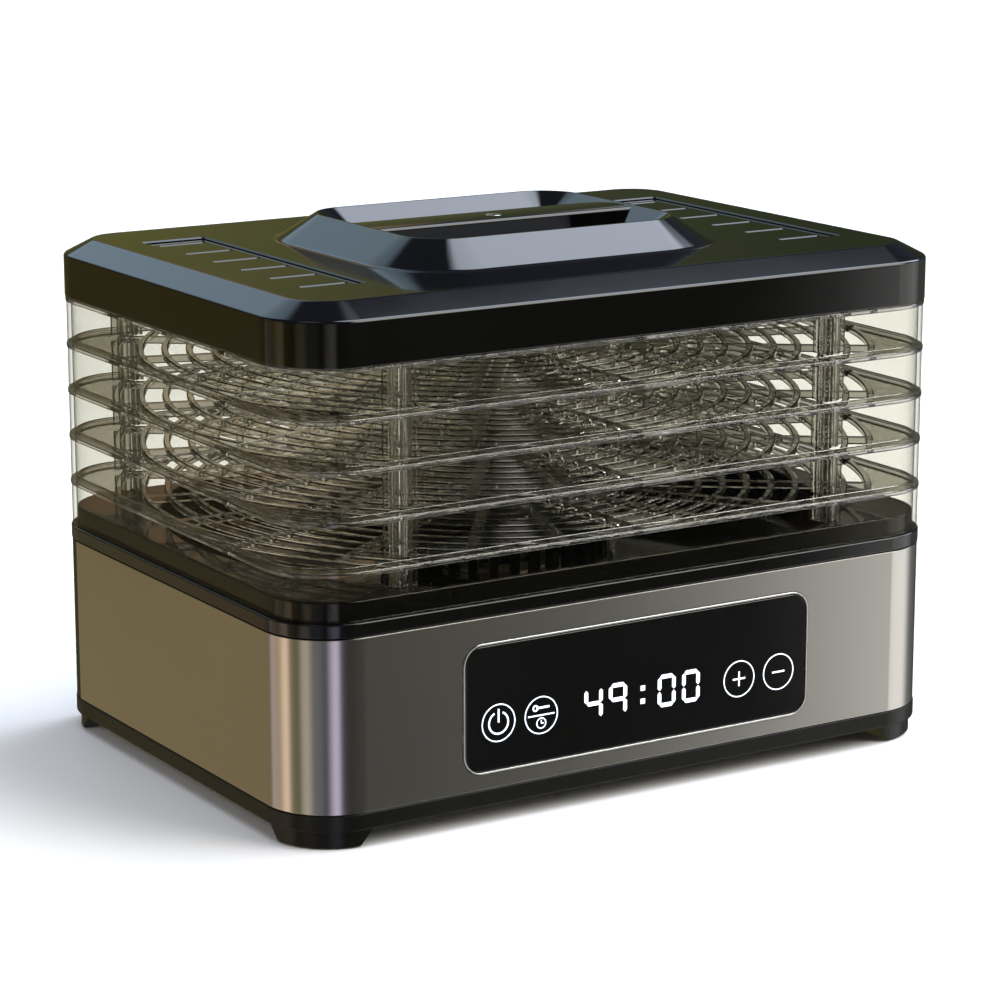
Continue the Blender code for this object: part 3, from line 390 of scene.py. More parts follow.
def outline_points(half_x, half_y, radius, steps, side_steps=0):
    """Points round a rounded rectangle, from the +X side, with extra points along its sides.

    A point just past each end of a corner keeps the side next to it shaded flat.
    """
    points = []
    centres = ((1, 1), (-1, 1), (-1, -1), (1, -1))
    for turn, (sx, sy) in enumerate(centres):
        centre = Vector((sx * (half_x - radius), sy * (half_y - radius)))
        ends = [Vector((math.cos(math.pi / 2 * a), math.sin(math.pi / 2 * a)))
                for a in (turn, turn + 1)]
        rooms = (half_y - radius, half_x - radius)
        holds = [min(2 * HOLD, room / 2) for room in (rooms if turn % 2 == 0 else rooms[::-1])]
        points.append(centre + radius * ends[0] - holds[0] * ends[1])
        for step in range(steps + 1):
            angle = math.pi / 2 * (turn + step / steps)
            points.append(centre + radius * Vector((math.cos(angle), math.sin(angle))))
        points.append(centre + radius * ends[1] - holds[1] * ends[0])
        if side_steps:
            sx, sy = centres[(turn + 1) % 4]
            angle = math.pi / 2 * (turn + 1)
            after = Vector((sx * (half_x - radius), sy * (half_y - radius)))
            after += radius * Vector((math.cos(angle), math.sin(angle)))
            start = points[-1]
            points += [start.lerp(after, i / side_steps) for i in range(1, side_steps)]
    return points


def raised(points, height):
    return [(p.x, p.y, height) for p in points]


def plan_ring(inset, height, side_steps=0):
    """The plan outline, moved in by an inset, at one height."""
    corner = max(sizes().corner_radius - inset, MM)
    return raised(outline_points(HALF_X - inset, HALF_Y - inset, corner, sizes().corner_steps,
                                 side_steps), height)


def loft(bm, rings, closed):
    """Joins rings of (x, y, z) points: the ends are capped, or joined to each other if closed."""
    first = bmesh.ops.create_circle(bm, segments=len(rings[0]), radius=1.0)["verts"]
    ring = list(first)
    for vert, place in zip(ring, rings[0]):
        vert.co = place
    loops = [ring]
    for places in rings[1:]:
        edges = [bm.edges.get((a, b)) for a, b in zip(ring, ring[1:] + ring[:1])]
        made = bmesh.ops.extrude_edge_only(bm, edges=edges)["geom"]
        fresh = {item for item in made if isinstance(item, bmesh.types.BMVert)}
        ring = [next(e.other_vert(v) for e in v.link_edges if e.other_vert(v) in fresh)
                for v in ring]
        for vert, place in zip(ring, places):
            vert.co = place
        loops.append(ring)
    ends = [[bm.edges.get((a, b)) for a, b in zip(r, r[1:] + r[:1])] for r in (loops[0], loops[-1])]
    if closed:
        bmesh.ops.bridge_loops(bm, edges=ends[0] + ends[1])
    else:
        for edges in ends:
            bmesh.ops.contextual_create(bm, geom=edges)


def eased(corners, steps=4):
    """A closed profile with its corners rounded. Each corner is (across, up, radius).

    A point just past each end of a rounding keeps the flat next to it shaded flat.
    """
    points = []
    count = len(corners)
    for i, (across, up, radius) in enumerate(corners):
        here = Vector((across, up))
        if radius <= 0.0:
            points.append(here)
            continue
        back = (Vector(corners[i - 1][:2]) - here).normalized()
        ahead = (Vector(corners[(i + 1) % count][:2]) - here).normalized()
        half = back.angle(ahead) / 2
        centre = here + (back + ahead).normalized() * radius / math.sin(half)
        reach = radius / math.tan(half)
        start = (here + back * reach - centre).normalized()
        end = (here + ahead * reach - centre).normalized()
        points.append(here + back * (reach + HOLD))
        points += [centre + radius * start.slerp(end, step / steps) for step in range(steps + 1)]
        points.append(here + ahead * (reach + HOLD))
    return points


def wrapped(bm, corners, steps=None, ease=4):
    """Sweeps a closed profile of (inset, height, radius) corners round the plan outline."""
    settings = sizes()
    rings = []
    for inset, height in eased(corners, ease):
        radius = max(settings.corner_radius - inset, 0.5 * MM)
        ring = outline_points(HALF_X - inset, HALF_Y - inset, radius,
                              steps or settings.corner_steps)
        rings.append(raised(ring, height))
    loft(bm, rings, closed=True)


def ring_block(bm, half_x, half_y, radius, stations, steps=8):
    """A capped block on a rounded rectangle. Each station is (grow, height)."""
    rings = []
    for grow, height in stations:
        ring = outline_points(half_x + grow, half_y + grow, max(radius + grow, 0.05 * MM), steps)
        rings.append(raised(ring, height))
    loft(bm, rings, closed=False)


def bar(bm, low, high, turn=0.0):
    """A box between two corners, turned about Z."""
    verts = bmesh.ops.create_cube(bm, size=1.0)["verts"]
    low, high = Vector(low), Vector(high)
    bmesh.ops.scale(bm, vec=high - low, verts=verts)
    bmesh.ops.translate(bm, vec=(low + high) / 2, verts=verts)
    if turn:
        bmesh.ops.rotate(bm, cent=(0, 0, 0), matrix=Matrix.Rotation(turn, 3, "Z"), verts=verts)


def spun(bm, profile, steps, centre=(0, 0, 0), angle=FULL_TURN):
    """Turns a closed profile of (radius, height) points about an upright axis."""
    centre = Vector(centre)
    verts = [bm.verts.new(centre + Vector((radius, 0, height))) for radius, height in profile]
    edges = [bm.edges.new(pair) for pair in zip(verts, verts[1:] + verts[:1])]
    whole = angle == FULL_TURN
    made = bmesh.ops.spin(bm, geom=verts + edges, cent=centre, axis=(0, 0, 1), dvec=(0, 0, 0),
                          angle=angle, steps=steps, use_merge=whole, use_duplicate=False)
    if not whole:
        bmesh.ops.contextual_create(bm, geom=edges)
        last = [item for item in made["geom_last"] if isinstance(item, bmesh.types.BMEdge)]
        bmesh.ops.contextual_create(bm, geom=last)


def tube(bm, inner, outer, low, high, steps, centre=(0, 0, 0), angle=FULL_TURN):
    """A turned ring, or part of one, with a rectangular section."""
    spun(bm, ((inner, low), (outer, low), (outer, high), (inner, high)), steps, centre, angle)


def clipped(bm, place, normal):
    """Cuts away what lies past a plane, and closes the cut."""
    geom = bm.verts[:] + bm.edges[:] + bm.faces[:]
    made = bmesh.ops.bisect_plane(bm, geom=geom, dist=MERGE / 10, plane_co=place, plane_no=normal,
                                  clear_outer=True)
    edges = [item for item in made["geom_cut"] if isinstance(item, bmesh.types.BMEdge)]
    open_edges = [e for e in edges if e.is_valid and len(e.link_faces) == 1]
    if open_edges:
        bmesh.ops.holes_fill(bm, edges=open_edges, sides=0)


def carved(piece, cutters):
    """Cuts closed meshes out of a piece, and keeps the result as its mesh."""
    helpers = []
    for index, bm in enumerate(cutters):
        bmesh.ops.recalc_face_normals(bm, faces=bm.faces)
        mesh = plain_mesh(bm, f"{piece.name}_cut_{index}")
        helper = bpy.data.objects.new(mesh.name, mesh)
        bpy.context.scene.collection.objects.link(helper)
        modifier = piece.modifiers.new(helper.name, "BOOLEAN")
        modifier.operation = "DIFFERENCE"
        modifier.solver = "EXACT"
        modifier.object = helper
        helpers.append(helper)
    graph = bpy.context.evaluated_depsgraph_get()
    result = bpy.data.meshes.new_from_object(piece.evaluated_get(graph))
    piece.modifiers.clear()
    piece.data = result
    for helper in helpers:
        bpy.data.objects.remove(helper)
    result.shade_smooth()
    result.set_sharp_from_angle(angle=math.radians(SHARP))


def flared_cutter(low, high, radius, flare):
    """A cutter that also eases the edge it leaves at the height high.z."""
    bm = bmesh.new()
    half = (Vector(high) - Vector(low)) / 2
    middle = (Vector(high) + Vector(low)) / 2
    stations = ((0.0, low[2]), (0.0, high[2] - flare), (flare, high[2]), (flare, high[2] + 2 * MM))
    ring_block(bm, half.x, half.y, radius, stations, 5)
    bmesh.ops.translate(bm, vec=(middle.x, middle.y, 0), verts=bm.verts)
    return bm


def box_cutter(low, high):
    bm = bmesh.new()
    bar(bm, low, high)
    return bm


# ---- the base --------------------------------------------------------------------------------
class DEHYDRATOR_OT_base(bpy.types.Operator):
    """Makes the skirt, the feet and the hidden walls of the base"""

    bl_idname = "dehydrator.make_base"
    bl_label = "Base and feet"

    def execute(self, context):
        settings = sizes()
        bottom = BAND_LOW.z - GAP - settings.skirt_height
        top = BAND_LOW.z - GAP
        edge = settings.edge_radius
        bm = bmesh.new()
        inner = 4.6 * MM
        behind_band = 2.6 * MM
        wrapped(bm, ((0.0, bottom, edge), (0.0, top, edge / 2), (behind_band, top, 0.0),
                     (behind_band, TUB_HIGH.z, 0.0), (inner, TUB_HIGH.z, 0.0),
                     (inner, bottom, 0.0)))
        skirt = add_piece(bm, "base_skirt", *SATIN_BASE, ("base_tub",))
        front_window = (82.0 * MM, 30.0 * MM, 72.0 * MM)
        rear_window = (60.0 * MM, 37.0 * MM, 67.0 * MM)
        cutters = []
        for side, (half, low, high) in ((-1, front_window), (1, rear_window)):
            near, far = sorted((side * (HALF_Y - 12 * MM), side * (HALF_Y + 5 * MM)))
            cutters.append(box_cutter((-half, near, low), (half, far, high)))
        carved(skirt, [*cutters, grommet_cutter()])
        self.floor(bottom, inner)
        self.feet(bottom)
        return {"FINISHED"}

    def floor(self, bottom, inner):
        """The flat floor round the air intake."""
        bm = bmesh.new()
        hole = (GRILLE_HIGH.x - GRILLE_LOW.x) / 2 + GAP
        top = GRILLE_HIGH.z
        corner, steps, along = 25 * MM, 10, 8
        outer = outline_points(HALF_X - inner, HALF_Y - inner, corner, steps, along)
        circle = [hole * p.normalized() for p in outer]
        loft(bm, [raised(circle, bottom), raised(outer, bottom), raised(outer, top),
                  raised(circle, top)], closed=True)
        add_piece(bm, "base_floor", *SATIN_BASE)

    def feet(self, bottom):
        """Corner feet that follow the outline, with slanted inner ends."""
        low = TUB_LOW.z
        inset = 1.9 * MM
        reach_x, reach_y = 137.0 * MM, 93.8 * MM
        slant = 6.5 * MM
        ease = 0.5 * MM
        lean = Vector((bottom - low, slant)).normalized()
        for word_x, sx in (("left", -1), ("right", 1)):
            for word_y, sy in (("front", -1), ("rear", 1)):
                bm = bmesh.new()
                radius = sizes().corner_radius - inset
                ring_block(bm, HALF_X - inset, HALF_Y - inset, radius,
                           ((-ease, low), (0.0, low + ease), (0.0, bottom + 0.2 * MM)),
                           sizes().corner_steps)
                clipped(bm, (sx * reach_x, 0, low), (-sx * lean.x, 0, -lean.y))
                clipped(bm, (0, sy * reach_y, low), (0, -sy * lean.x, -lean.y))
                add_piece(bm, f"foot_{word_y}_{word_x}", *SATIN_BASE)


def grommet_cutter():
    """A rod along Y that clears the cord's grommet."""
    bm = bmesh.new()
    low, high = corners_of("cord_grommet")
    middle = (low + high) / 2
    radius = 6.3 * MM
    made = bmesh.ops.create_cone(bm, cap_ends=True, segments=32, radius1=radius, radius2=radius,
                                 depth=30 * MM)
    bmesh.ops.rotate(bm, cent=(0, 0, 0), matrix=Matrix.Rotation(math.pi / 2, 3, "X"),
                     verts=made["verts"])
    bmesh.ops.translate(bm, vec=middle, verts=made["verts"])
    return bm


class DEHYDRATOR_OT_band(bpy.types.Operator):
    """Makes the metal band round the front and sides, and the cover behind it"""

    bl_idname = "dehydrator.make_band"
    bl_label = "Metal band and rear cover"

    def execute(self, context):
        outer = HALF_X - BAND_HIGH.x
        thickness = 0.8 * MM
        bm = bmesh.new()
        wrapped(bm, ((outer, BAND_LOW.z, METAL_EASE), (outer, BAND_HIGH.z, METAL_EASE),
                     (outer + thickness, BAND_HIGH.z, 0.0), (outer + thickness, BAND_LOW.z, 0.0)),
                steps=24, ease=3)
        clipped(bm, (0, BAND_HIGH.y, 0), (0, 1, 0))
        band = add_piece(bm, "metal_wrap", "graphite", "base", "graphite_steel", ("metal_band",))
        carved(band, [panel_cutter(GAP)])
        self.cover()
        return {"FINISHED"}

    def cover(self):
        """The rear cover, with its louvres and the hole for the cord."""
        outer = HALF_Y - COVER_HIGH.y
        thickness = 1.8 * MM
        half = 57 * MM
        bm = bmesh.new()
        ease = 0.5 * MM
        wrapped(bm, ((outer, COVER_LOW.z, ease), (outer, COVER_HIGH.z, ease),
                     (outer + thickness, COVER_HIGH.z, 0.0),
                     (outer + thickness, COVER_LOW.z, 0.0)), ease=3)
        clipped(bm, (0, COVER_LOW.y, 0), (0, -1, 0))
        cover = add_piece(bm, "rear_shell", *SATIN_BASE, ("rear_cover",))
        cutters = [grommet_cutter()]
        pitch = 5.0 * MM
        middle = (COVER_LOW.z + COVER_HIGH.z) / 2
        for index in range(sizes().louvre_count):
            z = middle + (index - (sizes().louvre_count - 1) / 2) * pitch
            cutters.append(box_cutter((-half, HALF_Y - 8 * MM, z - pitch / 4),
                                      (half, HALF_Y + 5 * MM, z + pitch / 4)))
        carved(cover, cutters)


def facing_front(bm, front):
    """Lays a mesh built on the XY plane against the front face, its +Z outwards."""
    turn = Matrix.Rotation(math.pi / 2, 4, "X")
    bmesh.ops.transform(bm, matrix=Matrix.Translation((0, front, 0)) @ turn, verts=bm.verts)


def panel_cutter(gap):
    """A block that clears the panel by a gap all round."""
    bm = bmesh.new()
    half = (BEZEL_HIGH - BEZEL_LOW) / 2
    depth = 6 * MM
    ring_block(bm, half.x + gap, half.z + gap, PANEL_CORNER + gap, ((0, -depth), (0, depth)))
    bmesh.ops.translate(bm, vec=(0, (BEZEL_HIGH.z + BEZEL_LOW.z) / 2, 0), verts=bm.verts)
    facing_front(bm, BEZEL_LOW.y)
    return bm


# ---- the deck --------------------------------------------------------------------------------
class DEHYDRATOR_OT_deck(bpy.types.Operator):
    """Makes the black deck with its rim, its plateau and the round drip dish"""

    bl_idname = "dehydrator.make_deck"
    bl_label = "Deck"

    def execute(self, context):
        settings = sizes()
        wall = 2.2 * MM
        rim_low = BAND_HIGH.z + 2 * GAP
        rim_top = rim_low + settings.rim_height
        top = DECK_HIGH.z
        floor = DECK_LOW.z + wall
        edge = settings.edge_radius
        collar = 4.9 * MM
        side_steps = 14
        bm = bmesh.new()
        angles = [math.atan2(y, x) for x, y, _ in plan_ring(0.0, 0.0, side_steps)]
        inset = settings.plateau_inset
        lip = HALF_Y - inset - settings.lip_width

        def dish(radius, height):
            limit = lip - settings.dish_radius + radius
            return [(radius * math.cos(a), max(-limit, min(limit, radius * math.sin(a))), height)
                    for a in angles]

        support = inset + 4 * MM
        outer_corners = ((collar, rim_low, 0.0), (0.0, rim_low, edge / 2), (0.0, rim_top, edge),
                         (inset, rim_top, edge / 2), (inset, top, edge), (support, top, 0.0),
                         (support, rim_low, 0.0))
        rings = [plan_ring(x, z, side_steps) for x, z in eased(outer_corners)[:-2]]
        radius = settings.dish_radius
        cove = 5 * MM
        profile = eased(((radius + 6 * MM, top, 0.0), (radius, top, edge),
                         (radius - 1.5 * MM, floor, cove), (radius - 30 * MM, floor, 0.0)))
        rings += [dish(r, z) for r, z in profile[1:-1]]
        hole = 44 * MM
        outlet = (DRUM_HIGH.x - DRUM_LOW.x) / 2 + 12 * MM
        for r, z in ((outlet, floor), (hole, floor), (hole, DECK_LOW.z), (outlet, DECK_LOW.z)):
            rings.append([(r * math.cos(a), r * math.sin(a), z) for a in angles])
        rings += [dish(radius, DECK_LOW.z), dish(radius + wall, top - wall)]
        rings += [plan_ring(x, z, side_steps) for x, z in
                  ((collar + wall, top - wall), (collar + wall, DECK_LOW.z), (collar, DECK_LOW.z))]
        loft(bm, rings, closed=True)
        add_piece(bm, "deck", "gloss_black", "base", "gloss_black_plastic", ("top_deck",))
        return {"FINISHED"}


class DEHYDRATOR_OT_outlet(bpy.types.Operator):
    """Makes the slatted drum that the warm air leaves through"""

    bl_idname = "dehydrator.make_outlet"
    bl_label = "Air outlet"

    def execute(self, context):
        outer = (DRUM_HIGH.x - DRUM_LOW.x) / 2
        low, high = DRUM_LOW.z, DRUM_HIGH.z
        cap = 3.2 * MM
        foot = 2.4 * MM
        steps = 96
        middle = 0.5 * MM
        bm = bmesh.new()
        inner = outer - 3 * MM
        spun(bm, eased(((middle, high, 0.0), (outer, high, 1.2 * MM),
                        (outer, high - cap, 0.3 * MM), (middle, high - cap, 0.0))), steps)
        spun(bm, eased(((inner, low, 0.0), (outer + 3 * MM, low, 0.3 * MM),
                        (outer, low + foot, 1.5 * MM), (inner, low + foot, 0.0))), steps)
        count = 34
        half = 1.9 * MM
        for index in range(count):
            turn = FULL_TURN * (index + 0.5) / count
            bar(bm, (inner - 3 * MM, -half, low + foot / 2),
                (outer - 0.6 * MM, half, high - cap / 2), turn)
        add_piece(bm, "air_outlet", *SATIN_BASE, ("outlet_grille",))
        return {"FINISHED"}


# ---- the trays -------------------------------------------------------------------------------
class DEHYDRATOR_OT_trays(bpy.types.Operator):
    """Makes the clear trays: wall, thick edge, grid, corner plate and posts of each"""

    bl_idname = "dehydrator.make_trays"
    bl_label = "Trays"

    def execute(self, context):
        low, high = corners_of("tray_1")
        top = high.z - 3.0 * MM
        # Each pattern is a mesh, its finish, and the angle at which its edges stay sharp.
        patterns = {
            "wall": (self.wall(low.z, top), "wall", 25.0),
            "edge": (self.edge(top), "slats", 30.0),
            "grid": (self.grid(top), "slats", 30.0),
            "corners": (self.corners(top), "wall", 30.0),
            "posts": (self.posts(low.z, top), "slats", 30.0),
        }
        last_low = DECK_HIGH.z + GAP
        for number in range(1, TRAY_COUNT + 1):
            drop = corners_of(f"tray_{number}")[1].z - high.z
            for part, (mesh, finish_key, sharp) in patterns.items():
                own = mesh.copy()
                own.transform(Matrix.Translation((0, 0, drop)))
                if part == "posts":
                    for vert in own.vertices:
                        vert.co.z = max(vert.co.z, last_low)
                replaced = (f"tray_{number}",) if part == "wall" else ()
                add_mesh(own, f"tray_{number}_{part}", finish_key, f"tray_{number}_body",
                         replaced, sharp)
        return {"FINISHED"}

    def wall(self, low, top):
        """The upright clear wall."""
        outer = 0.6 * MM
        bm = bmesh.new()
        high = top - sizes().flange_height - 0.05 * MM
        ease = 0.3 * MM
        wrapped(bm, ((outer, low, ease), (outer, high, 0.0), (outer + sizes().tray_wall, high, 0.0),
                     (outer + sizes().tray_wall, low, ease)), ease=2)
        return closed_mesh(bm, "tray_wall_pattern")

    def edge(self, top):
        """The thick edge: a flange outside, and the spigot that centres the next tray."""
        flange = 0.2 * MM
        low = top - sizes().flange_height
        seat = top - 0.1 * MM
        crest = top + 1.6 * MM
        spigot = 3.1 * MM
        inner = spigot + 1.2 * MM
        bm = bmesh.new()
        ease = 0.35 * MM
        wrapped(bm, ((flange, low, ease), (flange, seat, ease), (spigot, seat, 0.0),
                     (spigot, crest, ease), (inner, crest, ease), (inner, low, 0.0)), ease=2)
        return closed_mesh(bm, "tray_edge_pattern")

    def grid(self, top):
        """Ring slats and spokes, trimmed to the wall."""
        settings = sizes()
        width, height = settings.slat_width, settings.slat_height
        bm = bmesh.new()
        low = top - height
        ease = 0.5 * MM
        radius = settings.grid_radius
        hub = 14 * MM
        hub_hole = 3 * MM
        least_steps, steps_per_mm = 40, 0.8
        while radius > hub + settings.slat_pitch:
            inner, outer = radius - width / 2, radius + width / 2
            section = ((inner, low), (outer, low), (outer, top - ease), (outer - ease, top),
                       (inner + ease, top), (inner, top - ease))
            spun(bm, section, max(least_steps, int(radius / MM * steps_per_mm)))
            radius -= settings.slat_pitch
        tube(bm, hub_hole, hub, low, top, least_steps)
        half = settings.spoke_width / 2
        proud = 0.2 * MM
        for index in range(settings.spoke_count):
            turn = FULL_TURN * index / settings.spoke_count
            bar(bm, (hub - 2 * MM, -half, low - proud),
                (settings.grid_radius + width / 2, half, top + proud), turn)
        self.trim(bm)
        return closed_mesh(bm, "tray_grid_pattern")

    def corners(self, top):
        """The clear plate outside the rings, trimmed to the wall."""
        settings = sizes()
        bm = bmesh.new()
        near = settings.grid_radius + settings.slat_width / 2 + 0.2 * MM
        thickness = 1.2 * MM
        tube(bm, near, HALF_X + HALF_Y, top - thickness, top, steps=160)
        self.trim(bm)
        return closed_mesh(bm, "tray_corners_pattern")

    def trim(self, bm):
        """Cuts away what lies outside the rounded inner wall."""
        settings = sizes()
        inset = 4.4 * MM
        centre = Vector((HALF_X, HALF_Y)) - Vector((1, 1)) * settings.corner_radius
        corner = settings.corner_radius - inset
        steps = 8
        for turn, (sx, sy) in enumerate(((1, 1), (-1, 1), (-1, -1), (1, -1))):
            for step in range(steps):
                angle = math.pi / 2 * (turn + step / steps)
                out = Vector((math.cos(angle), math.sin(angle), 0))
                place = Vector((sx * centre.x, sy * centre.y, 0)) + out * corner
                clipped(bm, place, out)

    def posts(self, low, top):
        """Corner posts: a tube with a cross of thin ribs."""
        settings = sizes()
        bm = bmesh.new()
        high = top - settings.slat_height
        inner, outer = 2.6 * MM, 4.2 * MM
        reach = 7.0 * MM
        half = 0.7 * MM
        for sx in (-1, 1):
            for sy in (-1, 1):
                across = settings.front_post_x if sy < 0 else settings.rear_post_x
                middle = Vector((sx * across, sy * settings.post_y, 0))
                tube(bm, inner, outer, low, high, 24, middle)
                for shift, upright in ((-5.4 * MM, True), (-3.0 * MM, True), (0.0, False)):
                    size = Vector((half, reach * 0.7) if upright else (reach, half))
                    place = middle + Vector((sx * shift, 0, 0))
                    bar(bm, (place.x - size.x, place.y - size.y, low),
                        (place.x + size.x, place.y + size.y, high))
        return closed_mesh(bm, "tray_posts_pattern")


# ---- the lid ---------------------------------------------------------------------------------
class DEHYDRATOR_OT_lid(bpy.types.Operator):
    """Makes the lid: its skirt, shoulder, vent pockets and the recessed grip"""

    bl_idname = "dehydrator.make_lid"
    bl_label = "Lid and grip"

    def execute(self, context):
        settings = sizes()
        low = LID_LOW.z
        shoulder = low + settings.lid_skirt
        roof = shoulder + settings.shoulder_rise
        crest = LID_HIGH.z
        run = settings.shoulder_run
        bm = bmesh.new()

        def grip(out, height, radius):
            """A ring round the grip, moved out from its crest."""
            return raised(outline_points(settings.crest_length / 2 + out,
                                         settings.crest_depth / 2 + out, radius,
                                         settings.corner_steps), height)

        wall = 2.4 * MM
        pit = crest - 21.0 * MM
        rings = [grip(-21 * MM, pit - wall, 4 * MM), grip(-14 * MM, roof - wall, 6 * MM),
                 plan_ring(run + wall, roof - wall), plan_ring(wall, shoulder - wall)]
        skin = eased(((wall, low, 0.3 * MM), (0.0, low, 0.5 * MM), (0.0, shoulder, 1.6 * MM),
                      (run, roof, 2.5 * MM), (run + 20 * MM, roof, 0.0)), 5)
        rings += [plan_ring(inset, height) for inset, height in skin[:-1]]
        run_out = 18.0 * MM
        ridge = eased(((30 * MM, roof, 0.0), (run_out, roof, 5.0 * MM), (0.3 * MM, crest, 0.5 * MM),
                       (-0.8 * MM, crest, 0.5 * MM), (-run_out, roof + 0.6 * MM, 1.5 * MM),
                       (-run_out - 4 * MM, pit, 2.0 * MM), (-run_out - 12 * MM, pit, 0.0)), 5)
        for out, height in ridge[1:-1]:
            radius = max(20 * MM + out, 2 * MM) if out > -18 * MM else 3 * MM
            rings.append(grip(out, height, radius))
        loft(bm, rings, closed=False)
        lid = add_piece(bm, "lid", *GLOSS_LID, ("lid_shell",))
        carved(lid, self.vents(roof))
        self.bar_piece(pit, crest)
        self.screw(crest)
        return {"FINISHED"}

    def vents(self, roof):
        """Two shallow pockets, each with its row of slots."""
        cutters = []
        pocket = 1.0 * MM
        pocket_in, pocket_out, pocket_half = 107 * MM, 137 * MM, 73 * MM
        slot_in, slot_out, slot_half = 110.5 * MM, 132.5 * MM, 1.1 * MM
        slot_pitch = 25.6 * MM
        for side in (-1, 1):
            near, far = sorted((side * pocket_in, side * pocket_out))
            cutters.append(flared_cutter((near, -pocket_half, roof - pocket),
                                         (far, pocket_half, roof), MM, 0.6 * MM))
            near, far = sorted((side * slot_in, side * slot_out))
            for index in range(sizes().vent_count):
                y = (index - (sizes().vent_count - 1) / 2) * slot_pitch
                cutters.append(flared_cutter((near, y - slot_half, roof - 6 * MM),
                                             (far, y + slot_half, roof - pocket), 0.9 * MM,
                                             0.5 * MM))
        return cutters

    def bar_piece(self, pit, crest):
        """The bar that the fingers hold, with its long top edges rounded."""
        settings = sizes()
        bm = bmesh.new()
        half = settings.bar_width / 2
        reach = settings.crest_length / 2
        bar(bm, (-reach, -half, pit - MM), (reach, half, crest - 0.45 * MM))
        top = [e for e in bm.edges if all(v.co.z > crest - MM for v in e.verts)
               and abs(e.verts[0].co.y - e.verts[1].co.y) < MERGE]
        bmesh.ops.bevel(bm, geom=top, offset=1.6 * MM, segments=5, profile=0.5,
                        affect="EDGES", material=-1)
        add_piece(bm, "grip_bar", *GLOSS_LID)

    def screw(self, crest):
        """A domed screw head in the middle of the grip bar."""
        bm = bmesh.new()
        inner, radius = 0.2 * MM, 3.7 * MM
        low = crest - 1.2 * MM
        spun(bm, eased(((inner, low, 0.0), (radius, low, 0.0),
                        (radius, crest - 0.35 * MM, 0.4 * MM),
                        (inner, crest - 0.02 * MM, 0.0))), steps=40)
        add_piece(bm, "grip_screw_head", "steel", "lid", "bright_steel", ("grip_screw",))


